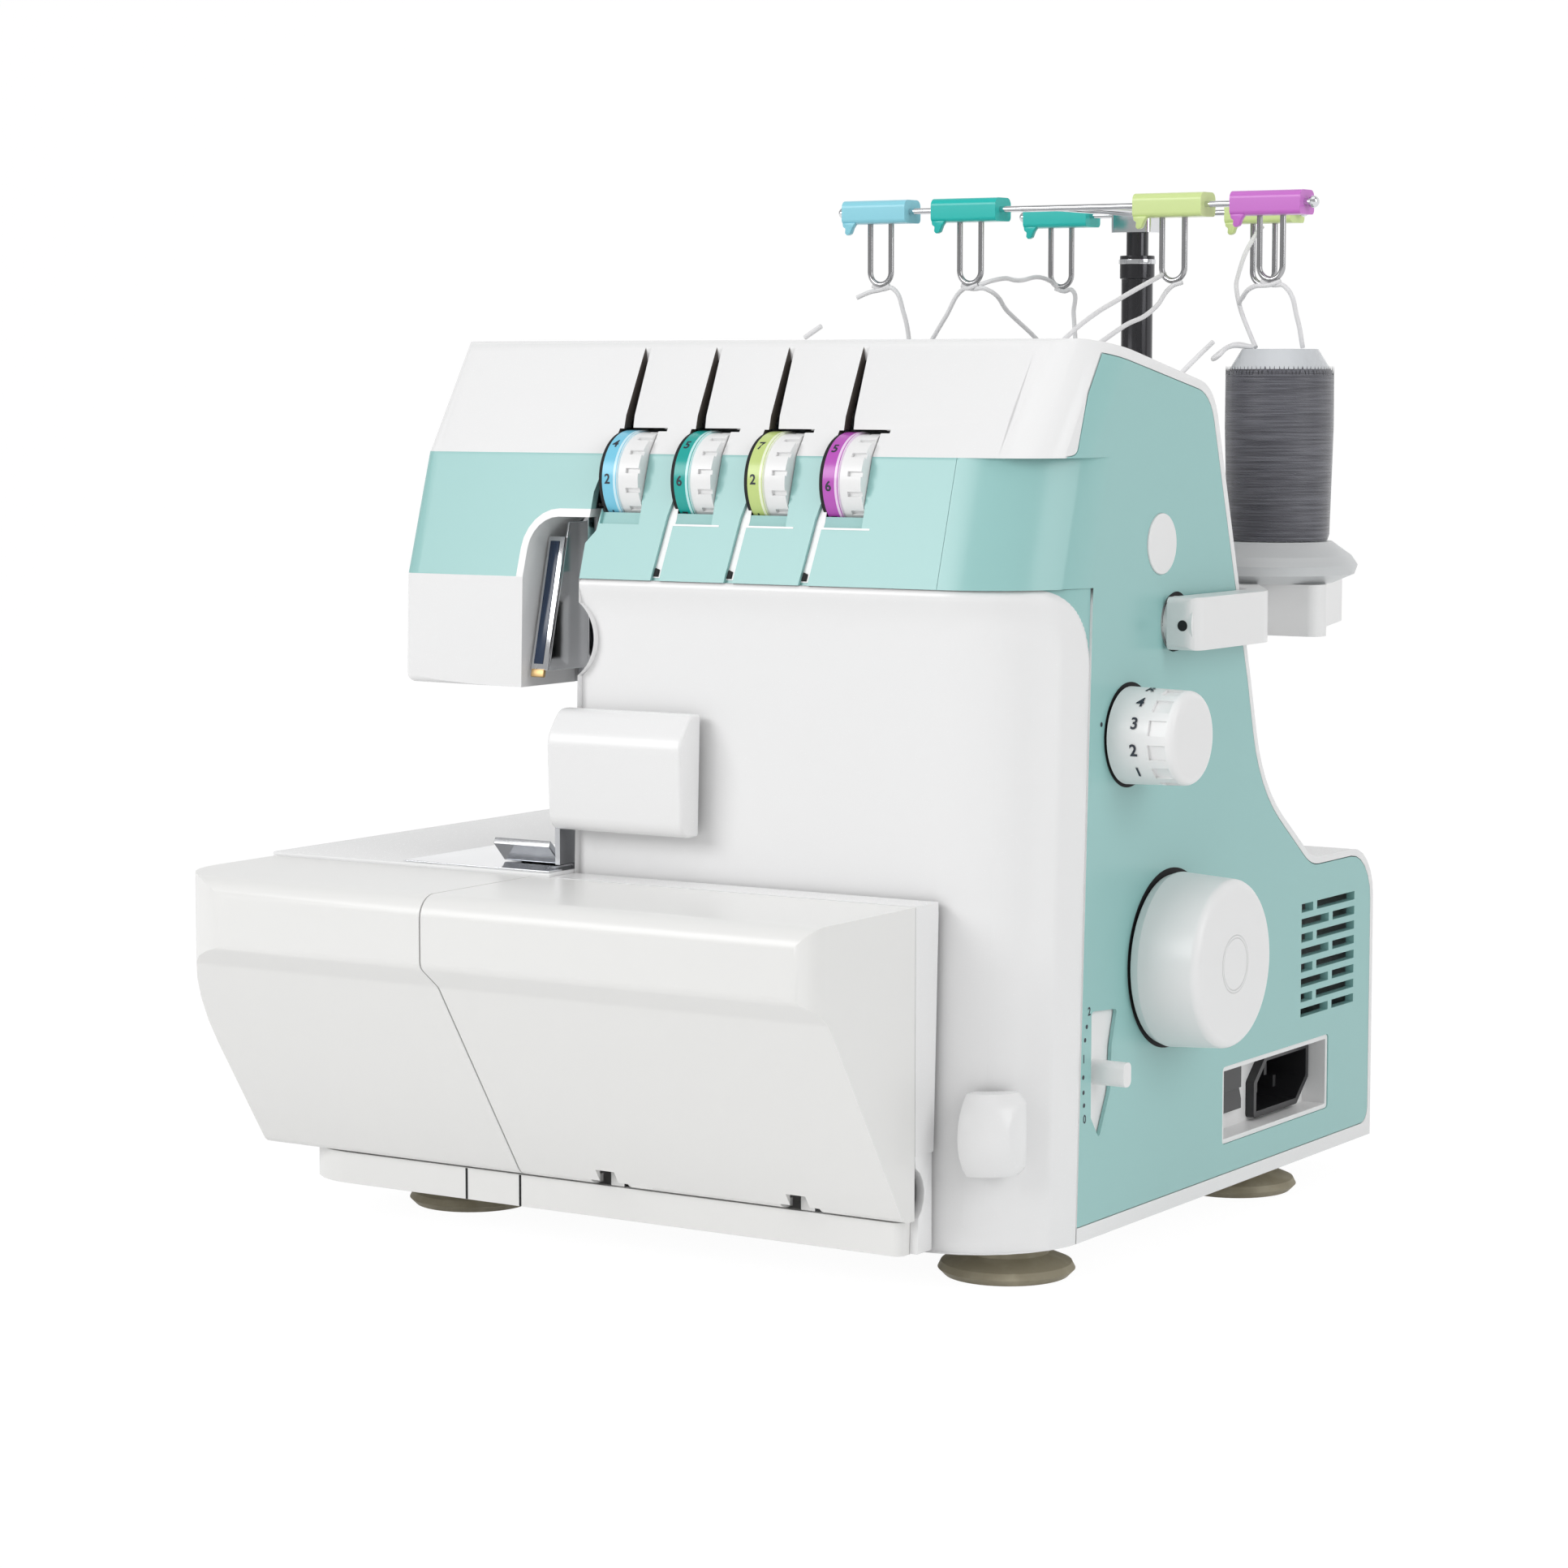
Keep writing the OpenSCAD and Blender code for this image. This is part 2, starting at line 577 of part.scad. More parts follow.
guide_x0 = needle_x - 12;
guide_x1 = needle_x + 14;
module bar_guide() color([0.55, 0.56, 0.57]) difference() {
    union() {
        block(guide_x0, guide_x1, needle_y - 9, presser_y + 9, 234, 244);
        block(guide_x0, guide_x1, presser_y - 9, presser_y + 9, head_under_z + wall + 0.2, 192);
        block(guide_x0, guide_x1, presser_y + 9, presser_y + 14, head_under_z + wall + 0.2, 244);
        block(guide_x1, 8, presser_y + 9, presser_y + 14, 214, 244);
        block(0, 8, -54, presser_y + 14, 160, 244);
        block(lifter_x - 13, lifter_x + 13, presser_y + 14, 10, lifter_z - 9, lifter_z - 5.5);
        for (s = [-1, 1]) block(min(s * 9.3, s * 13) + lifter_x, max(s * 9.3, s * 13) + lifter_x, 8, lifter_y + 5,
            lifter_z - 9, lifter_z + 5);
        rod_x(lifter_x - 13, lifter_x + 13, lifter_y, lifter_z, lifter_pin_r);
    }
    bar_holes(run);
}

module needle_bar() color(steel) rod_z(158, 250, needle_x, needle_y, needle_bar_d / 2);

module needle_clamp() color(steel) difference() {
    block(needle_x - 6, needle_x + 6, needle_y - 5, needle_y + 5, 150, 162);
    rod_z(157.9, 170, needle_x, needle_y, needle_bar_d / 2 + 0.02);
    for (x = [-3, 3]) rod_z(100, 155, needle_x + x, needle_y, 0.82);
}

module needles() color(steel) for (x = [-3, 3]) {
    rod_z(138, 155, needle_x + x, needle_y, 0.8);
    translate([needle_x + x, needle_y, 132]) cylinder(h = 6, r1 = 0.15, r2 = 0.8);
}

module presser_bar() color(steel) rod_z(138, 248, needle_x, presser_y, presser_bar_d / 2);

foot_z = bed_z + 0.4 + 0.3;
module presser_foot() color(steel) difference() {
    union() {
        block(needle_x - 13, needle_x + 9, -106, -54, foot_z, foot_z + 2.4);
        block(needle_x - 4.5, needle_x + 4.5, presser_y - 9, presser_y + 5, foot_z + 2.4, 146);
        along_x(needle_x - 13, needle_x + 9, [[-112, foot_z + 6, 0], [-106, foot_z, 0], [-105, foot_z + 2.4, 0],
            [-111, foot_z + 8, 0]]);
    }
    rod_z(137.9, 150, needle_x, presser_y, presser_bar_d / 2 + 0.02);
    block(needle_slot[0], needle_slot[1], needle_slot[2] - 1, needle_slot[3] + 1, 100, 130);
}

lifter_x = -71;
lifter_y = 16;
lifter_z = 214;
lifter_pin_r = 2.5;
module presser_lifter() color(white) difference() {
    union() {
        rod_x(lifter_x - 9, lifter_x + 9, lifter_y, lifter_z, 5);
        along_x(lifter_x - 5, lifter_x + 5, [[lifter_y, lifter_z - 4, 0], [58, lifter_z - 4, 4], [58, lifter_z + 4, 4],
            [lifter_y, lifter_z + 4, 0]]);
    }
    rod_x(lifter_x - 20, lifter_x + 20, lifter_y, lifter_z, lifter_pin_r + run);
}

module feed_dogs() color(steel) {
    block(-71, -45, -100, -83, 98, 104);
    intersection() {
        feed_slots(0);
        block(-100, 0, -100, -80, 104, bed_z + 0.4);
    }
}

cutter_x = -43.5;
cutter_y0 = -113;
cutter_y1 = -99;
module lower_cutter() color(steel) block(cutter_x - 1.2, cutter_x + 0.3, cutter_y0, cutter_y1, 100, bed_z + 0.3);

cutter_shaft = [-95, 146];
cutter_shaft_r = 4;
module upper_cutter() color([0.25, 0.26, 0.28]) {
    rod_x(cutter_x + 0.6, -4, cutter_shaft.x, cutter_shaft.y, cutter_shaft_r);
    along_x(cutter_x + 0.6, cutter_x + 2.4, [[cutter_shaft.x + 5, cutter_shaft.y - 6, 0],
        [cutter_shaft.x + 5, cutter_shaft.y + 5, 0], [cutter_y0, cutter_shaft.y + 5, 3], [cutter_y0, bed_z + 1.5, 0],
        [cutter_y1, bed_z + 1.5, 0], [cutter_y1, cutter_shaft.y - 8, 3]]);
}

looper_y = -78;
lower_pivot = [-84, 44];
upper_pivot = [-52, 44];
module looper_arm(pivot, tip) {
    rod_y(looper_y - 4, looper_y + 4, pivot.x, pivot.y, 7);
    along_y(looper_y - 2, looper_y + 2, [[pivot.x - 4, pivot.y + 4, 0], [pivot.x + 4, pivot.y + 4, 0], [tip.x + 2.5, tip.y, 2],
        [tip.x - 2.5, tip.y, 2]]);
}

module lower_looper() color(steel) difference() {
    union() {
        looper_arm(lower_pivot, [-88, 96]);
        along_y(looper_y - 1, looper_y + 1, [[-90, 92, 0], [-88, 91, 0], [-74, 99, 0], [-89, 97, 0]]);
    }
    rod_y(-130, -60, lower_pivot.x, lower_pivot.y, 4 + run);
}

module upper_looper() color(steel) difference() {
    union() {
        looper_arm(upper_pivot, [-50, 96]);
        along_y(looper_y - 1, looper_y + 1, [[-52, 92, 0], [-49, 96, 0], [-52, 98, 0], [-64, 104, 0]]);
    }
    rod_y(-130, -60, upper_pivot.x, upper_pivot.y, 4 + run);
}

module looper_shafts() color(steel) {
    for (p = [lower_pivot, upper_pivot]) rod_y(looper_y - 6, -70, p.x, p.y, 4);
    block(-96, -42, -70, -64, floor_z, 56);
}

// ---- cutter guard -------------------------------------------------------------------------------------
guard_x0 = -40;
guard_x1 = 10.2;
guard_under_z = 132.4;
guard_pts = [[-120.4, guard_under_z, 5], [-90, guard_under_z, 0], [-90, 170.4, 0], [-115, 170.4, 6], [-121.6, 162, 10]];
module cutter_guard() color(white) difference() {
    along_x(guard_x0, guard_x1, guard_pts);
    along_x(guard_x0 - 1, guard_x1 - wall, inset(guard_pts, wall));
    translate([0, front_y - 0.4, z0]) rotate([-atan2(panel_lean, panel_z - z0), 0, 0]) block(-100, 100, 0, 100, 0, 300);
}

// ---- controls -------------------------------------------------------------------------------------------
post_r = 2.5;
module tension_posts() color(steel) {
    for (i = [0:3]) {
        rod_x(dial_mid(i) - ring_w / 2 - 1, dial_mid(i) + ring_w / 2 + knurl_w + 5, dial_y, dial_z, post_r);
        block(dial_mid(i) + ring_w / 2 + knurl_w + 1.5, dial_mid(i) + ring_w / 2 + knurl_w + 4, dial_y - 2,
            post_plate_y, dial_z - 5, dial_z + 5);
    }
    block(dial_mid(0), dial_mid(3) + 20, post_plate_y, post_plate_y + 2, dial_z - 12, dial_z + 6);
    block(0, 8, post_plate_y + 2, -54, dial_z - 12, dial_z + 6);
}

post_plate_y = dial_y + dial_r + 3;
module tension_dial(i, ring_colour) difference() {
    union() {
        color(ring_colour) rod_x(dial_mid(i) - ring_w / 2, dial_mid(i) + ring_w / 2, dial_y, dial_z, dial_r);
        color(white) rod_x(dial_mid(i) + ring_w / 2, dial_mid(i) + ring_w / 2 + knurl_w, dial_y, dial_z, dial_r - 0.6);
    }
    rod_x(-200, 200, dial_y, dial_z, post_r + run);
    for (a = [0:24:359]) translate([0, dial_y, dial_z]) rotate([a, 0, 0]) translate([0, dial_r, 0])
        block(dial_mid(i) + ring_w / 2 + 3, dial_mid(i) + ring_w / 2 + knurl_w + 1, -1.6, 1, -0.8, 0.8);
}

module tension_dial_blue() tension_dial(0, [0.5, 0.78, 0.9]);
module tension_dial_teal() tension_dial(1, [0.1, 0.62, 0.58]);
module tension_dial_green() tension_dial(2, [0.77, 0.84, 0.5]);
module tension_dial_magenta() tension_dial(3, [0.72, 0.33, 0.72]);

length_y = -49.7;
length_z = 165;
module stitch_length_dial() color(white) {
    difference() {
        translate([side_x + 1, length_y, length_z]) rotate([0, 90, 0]) rotate_extrude()
            polygon(concat([[0, 0]], rounded([[length_dial_d / 2, 0, 0], [length_dial_d / 2 - 0.6, length_dial_len, 2.5],
                [0, length_dial_len, 0]], 5)));
        for (a = [15:30:359]) translate([0, length_y, length_z]) rotate([a, 0, 0])
            block(side_x + 14.5, side_x + 20.3, length_dial_d / 2 - 1.4, length_dial_d / 2 + 1, -2.4, 2.4);
    }
    rod_x(108 + gap, side_x + 1, length_y, length_z, 4);
}

lever_y = -30;
lever_z = 63;
lever_len = 38;
lever_out = 45.5;                             // outer radius of the blind behind the slot
module differential_lever() color(white) {
    rod_x(108 + gap, 118, lever_y, lever_z, 6);
    along_x(114, 117, [[lever_y - lever_len, lever_z - 4, 0], [lever_y, lever_z - 5, 0], [lever_y, lever_z + 5, 0],
        [lever_y - lever_len, lever_z + 4, 0]]);
    block(114, side_x - 2, lever_y - lever_len, lever_y - lever_len + 4, lever_z - 3.8, lever_z + 3.8);
    difference() {
        rod_x(side_x - side_t - 0.2, side_x - 1.5, lever_y, lever_z, lever_out);
        rod_x(0, 200, lever_y, lever_z, 22);
        for (s = [-1, 1]) translate([0, lever_y, lever_z]) rotate([s * 50, 0, 0])
            block(100, 200, -100, 100, s > 0 ? -100 : 0, s > 0 ? 0 : 100);
        block(100, 200, lever_y - 14, 200, -100, 300);
    }
    along_x(side_x - 3, side_x + 10, [[lever_y - lever_len - 1, lever_z - 3.8, 2], [lever_y - lever_len + 4, lever_z - 3.8, 2],
        [lever_y - lever_len + 4, lever_z + 3.8, 2], [lever_y - lever_len - 1, lever_z + 3.8, 2]]);
}

plug_y = -27.8;
plug_z = 222.7;
plug_r = 9.5;
module side_plug() color(white) {
    rod_x(side_x - side_t, side_x + 0.6, plug_y, plug_z, plug_r);
    rod_x(side_x - side_t - 5, side_x - side_t, plug_y, plug_z, plug_r - 1.5);
}

inlet_pts = [[19, 26.5, 1.5], [99.5, 26.5, 1.5], [99.5, 52, 1.5], [19, 52, 1.5]];
inlet_depth = 6;
socket_y = 75.5;
socket_z = 39.2;
socket_pts = [[socket_y - 21, socket_z - 10, 1.5], [socket_y + 12, socket_z - 10, 1.5],
    [socket_y + 21, socket_z - 2, 1.5], [socket_y + 21, socket_z + 10, 1.5], [socket_y - 12, socket_z + 10, 1.5],
    [socket_y - 21, socket_z + 2, 1.5]];
module mains_inlet() {
    color(white) difference() {
        along_x(side_x - side_t - inlet_depth - 2, side_x - 0.4, inset(inlet_pts, 0.1));
        along_x(side_x - side_t - inlet_depth, side_x, inset(inlet_pts, 1.6));
        along_x(0, 200, inset(socket_pts, -0.1));
        block(0, 200, switch_y - switch_w - 0.6, switch_y + switch_w + 0.6, switch_z - switch_h - 0.6,
            switch_z + switch_h + 0.6);
    }
    color(dark) difference() {
        along_x(side_x - 36, side_x - side_t - inlet_depth + 3, socket_pts);
        along_x(side_x - 26, side_x, inset(socket_pts, 2));
    }
    color(steel) for (p = [[-7, -2], [7, -2], [0, 3]])
        block(side_x - 27, side_x - 12, socket_y + p.x - 1, socket_y + p.x + 1, socket_z + p.y - 2, socket_z + p.y + 2);
}

switch_y = 37;
switch_z = 41.2;
switch_w = 8;
switch_h = 7;
module power_switch() color(dark) difference() {
    union() {
        rod_y(switch_y - switch_w - 0.4, switch_y + switch_w + 0.4, side_x - 10.5, switch_z, 2);
        along_x(side_x - 22, side_x - side_t - inlet_depth + 3, [[switch_y - switch_w, switch_z - switch_h, 0],
        [switch_y + switch_w, switch_z - switch_h, 0], [switch_y + switch_w, switch_z + switch_h, 0],
        [switch_y - switch_w, switch_z + switch_h, 0]]);
    }
    translate([side_x - side_t - inlet_depth + 3, 0, switch_z]) rotate([0, -12, 0]) block(-0.8, 9, 0, 200, -30, 0);
}

// ---- thread stand -----------------------------------------------------------------------------------------
arm_y = -18.5;
arm_z = 198;
arm_r = 8.2;
tray_front = 66;
tray_h = 17;
tray_pts = [[stand_x - 96.5, tray_front, 4], [stand_x + 96.5, tray_front, 4], [stand_x + 96.5, 73, 4],
    [stand_x + 80, 101, 10], [stand_x + 62, 164, 16], [stand_x - 62, 164, 16], [stand_x - 80, 101, 10],
    [stand_x - 96.5, 73, 4]];

module spool_stand() color(white) {
    difference() {
        along_z(tray_z - tray_h, tray_z, tray_pts);
        along_z(tray_z - tray_h - 1, tray_z - 3, inset(tray_pts, 2.6));
        for (p = spools) rod_z(100, 300, p.x, p.y, pin_r + run);
        rod_z(100, 300, stand_x, mast_y, mast_d / 2);
    }
    rod_x(112, side_x + 10, arm_y, arm_z, arm_r);
    intersection() {
        along_z(arm_z - arm_r, arm_z + arm_r, [[side_x + 1.5, arm_y - arm_r, 0], [side_x + 12, arm_y - arm_r, 5],
            [side_x + 12, 24, 16], [114, tray_front + 0.01, 0], [96, tray_front + 0.01, 0], [side_x + 1.5, 30, 0]]);
        along_x(0, 200, [[arm_y - arm_r, arm_z - arm_r, 2], [100, arm_z - arm_r, 2], [100, arm_z + arm_r, 2],
            [arm_y - arm_r, arm_z + arm_r, 2]]);
    }
    difference() {
        block(stand_x - 80, stand_x - 60, 28, tray_front, tray_z - tray_h, tray_z - 1);
        housing_form(0);
    }
}

pin_r = 2.6;
mast_y = 121.5;
spools = [for (s = [-1, 1]) each [[stand_x + s * outer_spool, outer_spool_y], [stand_x + s * inner_spool, inner_spool_y]]];
disc_r = 26.5;
spool_z = 220;
module spool_discs() color([0.9, 0.92, 0.93]) for (p = spools) translate([p.x, p.y, 0]) {
    difference() {
        translate([0, 0, tray_z]) rotate_extrude() polygon([[0, 0], [disc_r - 8, 0], [disc_r - 1, 3], [disc_r, 6],
            [disc_r - 2, 9], [spool_d / 2 - 1, spool_z - tray_z - gap], [0, spool_z - tray_z - gap]]);
        rod_z(100, 300, 0, 0, pin_r);
    }
    rod_z(tray_z - 4, spool_z + spool_h - 12, 0, 0, pin_r);
}

// The third spool is full; the others are smaller ones with little thread left
module spool(i) color(i == 2 ? [0.38, 0.39, 0.43] : [0.95, 0.95, 0.95]) translate([spools[i].x, spools[i].y, spool_z])
    difference() {
        d = i == 2 ? spool_d : 26;
        h = i == 2 ? spool_h : 52;
        union() {
            rotate_extrude() polygon([[0, 0], [d / 2 - 0.6, 0], [d / 2, 2], [d / 2 - 0.8, h * 0.6], [d / 2 - 2, h - 2],
                [d / 2 - 3, h], [0, h]]);
            rod_z(h, h + 5.5, 0, 0, d / 2 - 3.2);
        }
        rod_z(-1, h + 10, 0, 0, 6);
    }

module spool_1() spool(0);
module spool_2() spool(1);
module spool_3() spool(2);
module spool_4() spool(3);

mast_top = 316;
bar_r = 3.85;
module mast_lower() color(dark) difference() {
    union() {
        rod_z(tray_z - tray_h, mast_top, stand_x, mast_y, mast_d / 2);
        rod_z(mast_top - 8, mast_top, stand_x, mast_y, mast_d / 2 + 0.6);
    }
    rod_z(tray_z - tray_h + 3, mast_top + 1, stand_x, mast_y, bar_r + run);
}

module mast_upper() color(steel) rod_z(tray_z - tray_h + 4, guide_z - 5, stand_x, mast_y, bar_r);

wire_r = 1;
front_wire_y = 72.5;
rear_wire_y = 139.5;
module guide_wires(y, half) {
    for (d = [-1.8, 1.8]) rod_x(stand_x - half, stand_x + half, y + d, guide_z, wire_r);
    for (s = [-1, 1]) translate([stand_x + s * half, y, guide_z]) sphere(r = 2);
}

module guide_bar() color(steel) {
    guide_wires(front_wire_y, outer_spool + 15);
    guide_wires(rear_wire_y, inner_spool + 15);
    for (x = [-6, 6]) rod_y(front_wire_y, rear_wire_y, stand_x + x, guide_z, wire_r);
    difference() {
        along_z(guide_z - 7, guide_z + 2.5, box_outline(stand_x - 7.6, mast_y - 6.5, stand_x + 7.6, mast_y + 6.5, 2));
        rod_z(0, guide_z - 4.9, stand_x, mast_y, bar_r + 0.02);
    }
}

clip_len = 25.5;
front_clips = [-outer_spool, -inner_spool + 1, inner_spool - 1, outer_spool];
module clip(x, y) difference() {
    along_x(x - clip_len / 2, x + clip_len / 2, [[y - 5.5, guide_z - 4, 1.5], [y + 5.5, guide_z - 4, 1.5],
        [y + 5.5, guide_z + 4, 2.5], [y - 5.5, guide_z + 4, 2.5]]);
    for (d = [-1.8, 1.8]) rod_x(-200, 300, y + d, guide_z, wire_r);
    for (s = [-1, 1]) rod_z(0, guide_z - 2, x + s * loop_half, y, wire_r + 0.02);
}

module clips_outer() color([0.6, 0.75, 0.9]) for (x = front_clips) clip(stand_x + x, front_wire_y);
module clips_inner() color([0.4, 0.8, 0.6]) for (s = [-1, 1]) clip(stand_x + s * inner_spool, rear_wire_y);

loop_half = 4.2;
loop_z = 306;
module wire_loop(x, y) {
    for (s = [-1, 1]) rod_z(loop_z + loop_half, guide_z - 2, x + s * loop_half, y, wire_r);
    translate([x, y, loop_z + loop_half]) intersection() {
        rotate([90, 0, 0]) rotate_extrude() translate([loop_half, 0]) circle(wire_r, $fn = 20);
        block(-10, 10, -10, 10, -10, 0);
    }
}

module thread_loops() color(steel) {
    for (x = front_clips) wire_loop(stand_x + x, front_wire_y);
    for (s = [-1, 1]) wire_loop(stand_x + s * inner_spool, rear_wire_y);
}

// Moves a piece from the datum midway between the feet to the middle of the overall box
module placed() translate([-0.5, 7.76, 0]) children();

placed() base_plate();
placed() rubber_feet();
placed() front_panel();
placed() head_band();
placed() head_top_cover();
placed() face_cover();
placed() rear_housing();
placed() side_cover();
placed() bed_housing();
placed() cloth_plate();
placed() looper_cover();
placed() cover_hinge_rod();
placed() cloth_plate_cover();
placed() cutter_guard();
placed() needle_area_plate();
placed() cast_frame();
placed() shaft_bushes();
placed() main_shaft();
placed() handwheel();
placed() driven_pulley();
placed() drive_belt();
placed() motor();
placed() motor_pulley();
placed() needle_plate();
placed() bar_guide();
placed() needle_bar();
placed() needle_clamp();
placed() needles();
placed() presser_bar();
placed() presser_foot();
placed() presser_lifter();
placed() feed_dogs();
placed() lower_cutter();
placed() upper_cutter();
placed() lower_looper();
placed() upper_looper();
placed() looper_shafts();
placed() tension_posts();
placed() tension_dial_blue();
placed() tension_dial_teal();
placed() tension_dial_green();
placed() tension_dial_magenta();
placed() stitch_length_dial();
placed() differential_lever();
placed() side_plug();
placed() mains_inlet();
placed() power_switch();
placed() spool_stand();
placed() spool_discs();
placed() spool_1();
placed() spool_2();
placed() spool_3();
placed() spool_4();
placed() mast_lower();
placed() mast_upper();
placed() guide_bar();
placed() clips_outer();
placed() clips_inner();
placed() thread_loops();
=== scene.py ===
# %% [markdown]
# Four-thread serger with a telescopic thread stand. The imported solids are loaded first, and every visible
# piece is then either a solid with a better finish, or a new shape that stands where its solid is.

# %% Load the machine
import json
import math
import bmesh
import bpy
from mathutils import Matrix, Vector

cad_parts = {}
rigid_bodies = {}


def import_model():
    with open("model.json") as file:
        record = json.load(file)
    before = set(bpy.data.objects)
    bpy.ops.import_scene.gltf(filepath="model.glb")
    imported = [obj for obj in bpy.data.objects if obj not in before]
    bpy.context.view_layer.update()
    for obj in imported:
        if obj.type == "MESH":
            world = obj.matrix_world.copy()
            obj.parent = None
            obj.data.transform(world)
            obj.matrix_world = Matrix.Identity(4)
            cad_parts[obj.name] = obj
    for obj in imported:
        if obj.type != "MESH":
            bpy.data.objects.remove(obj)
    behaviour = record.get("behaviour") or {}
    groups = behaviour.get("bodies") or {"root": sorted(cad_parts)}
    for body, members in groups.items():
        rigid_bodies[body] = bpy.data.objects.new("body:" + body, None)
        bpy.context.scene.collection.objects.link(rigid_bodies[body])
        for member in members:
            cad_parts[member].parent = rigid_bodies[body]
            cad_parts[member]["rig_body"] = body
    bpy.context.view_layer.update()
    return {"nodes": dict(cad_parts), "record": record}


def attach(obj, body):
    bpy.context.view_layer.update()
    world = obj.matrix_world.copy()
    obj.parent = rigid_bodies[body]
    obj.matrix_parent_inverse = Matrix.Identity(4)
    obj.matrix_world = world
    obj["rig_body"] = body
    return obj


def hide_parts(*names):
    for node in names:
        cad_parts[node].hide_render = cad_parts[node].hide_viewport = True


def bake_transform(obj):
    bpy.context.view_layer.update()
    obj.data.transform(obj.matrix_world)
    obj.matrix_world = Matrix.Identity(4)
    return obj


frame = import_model()
MM = 0.001
SHIFT = Vector((-0.5, 7.76, 0))


def mm(x, y, z):
    """Millimetres from the point on the floor midway between the feet, as metres in the frame."""
    return (Vector((x, y, z)) + SHIFT) * MM


def in_mm(point):
    return Vector(point) / MM - SHIFT


# %% [markdown]
# The camera stands in front and to the right of the machine, a little above the bed, with a long lens.

# %% Camera
eye = bpy.data.cameras.new("eye")
eye.sensor_width = 36
eye.lens = 93.35
eye.clip_end = 20
camera = bpy.data.objects.new("camera", eye)
camera.location = (0.70327, -1.14462, 0.275)
camera.rotation_euler = (math.radians(84.24), 0, math.radians(32.45))
bpy.context.scene.collection.objects.link(camera)
bpy.context.scene.camera = camera

# %% [markdown]
# A finish is a small graph of shader nodes. Written out node by node it is long and hard to read, so one class
# wraps a socket, and ordinary arithmetic on it adds the Math nodes.


# %% Shader arithmetic
class Signal:
    """A number that changes over a surface; + - * and the methods below add the nodes."""

    def __init__(self, graph, socket):
        self.graph, self.socket = graph, socket

    def _math(self, operation, *others):
        return self.graph.node("ShaderNodeMath", {"operation": operation}, self, *others)[0]

    def __add__(self, other): return self._math("ADD", other)
    def __sub__(self, other): return self._math("SUBTRACT", other)
    def __mul__(self, other): return self._math("MULTIPLY", other)
    def power(self, other): return self._math("POWER", other)
    def sine(self): return self._math("SINE")
    def absolute(self): return self._math("ABSOLUTE")
    def most(self, other): return self._math("MAXIMUM", other)

    def between(self, low, high):
        """0 below low, 1 above high, and smooth in between."""
        return self.graph.node("ShaderNodeMapRange", {"interpolation_type": "SMOOTHSTEP", "clamp": True},
                               self, low, high, 0.0, 1.0)[0]


class Finish:
    """A material whose nodes are added by one method."""

    def __init__(self, name, colour, roughness=0.4, **constants):
        self.material = bpy.data.materials.new(name)
        self.material.use_nodes = True
        self.tree = self.material.node_tree
        self.shader = self.tree.nodes["Principled BSDF"]
        self.base = (*colour, 1.0)
        self.set(Base_Color=self.base, Roughness=roughness, **constants)

    def node(self, kind, settings, *inputs, **named):
        made = self.tree.nodes.new(kind)
        for key, value in settings.items():
            setattr(made, key, value)
        for key, value in [*enumerate(inputs), *named.items()]:
            self._feed(made.inputs[key], value)
        return [Signal(self, out) for out in made.outputs]

    def _feed(self, target, value):
        if isinstance(value, Signal):
            self.tree.links.new(value.socket, target)
        else:
            target.default_value = value

    def set(self, **sockets):
        """Feeds the shader's sockets; an underscore stands for the space in a socket's name."""
        for key, value in sockets.items():
            self._feed(self.shader.inputs[key.replace("_", " ")], value)

    def place(self, scale=(1, 1, 1)):
        """The point on the object, in metres, stretched by scale."""
        point = self.node("ShaderNodeTexCoord", {})[3]
        return self.node("ShaderNodeMapping", {}, point, (0, 0, 0), (0, 0, 0), scale)[0]

    def axis(self, letter):
        return self.node("ShaderNodeSeparateXYZ", {}, self.place())["XYZ".index(letter)]

    def noise(self, scale, detail=3.0, stretch=(1, 1, 1)):
        return self.node("ShaderNodeTexNoise", {}, Vector=self.place(stretch), Scale=scale, Detail=detail)[0]

    def attribute(self, name):
        return self.node("ShaderNodeAttribute", {"attribute_name": name})[2]

    def mix(self, factor, first, second):
        """A colour between two colours."""
        made = self.tree.nodes.new("ShaderNodeMix")
        made.data_type = "RGBA"
        self._feed(made.inputs[0], factor)
        self._feed(made.inputs[6], first)
        self._feed(made.inputs[7], second)
        return Signal(self, made.outputs[2])

    def bump(self, height, distance, strength=1.0):
        self.set(Normal=self.node("ShaderNodeBump", {}, Strength=strength, Distance=distance, Height=height)[0])


def shade(colour, factor):
    return (*(min(1.0, c * factor) for c in colour[:3]), 1.0)


# %% [markdown]
# Moulded plastic is never a flat colour up close: the tool leaves a faint orange-peel skin, and the gloss is a
# little uneven. Both are fine noise, one in the bump and one in the roughness.


# %% Moulded plastics
def moulded(name, colour, roughness=0.3, peel=0.00002, grain=1800, **constants):
    finish = Finish(name, colour, roughness, **constants)
    finish.set(Roughness=finish.noise(2600, 2) * 0.02 + (roughness - 0.01))
    finish.set(Base_Color=finish.mix(finish.noise(1500, 2), shade(colour, 0.996), shade(colour, 1.004)))
    finish.bump(finish.noise(grain, 2), peel, 0.12)
    return finish


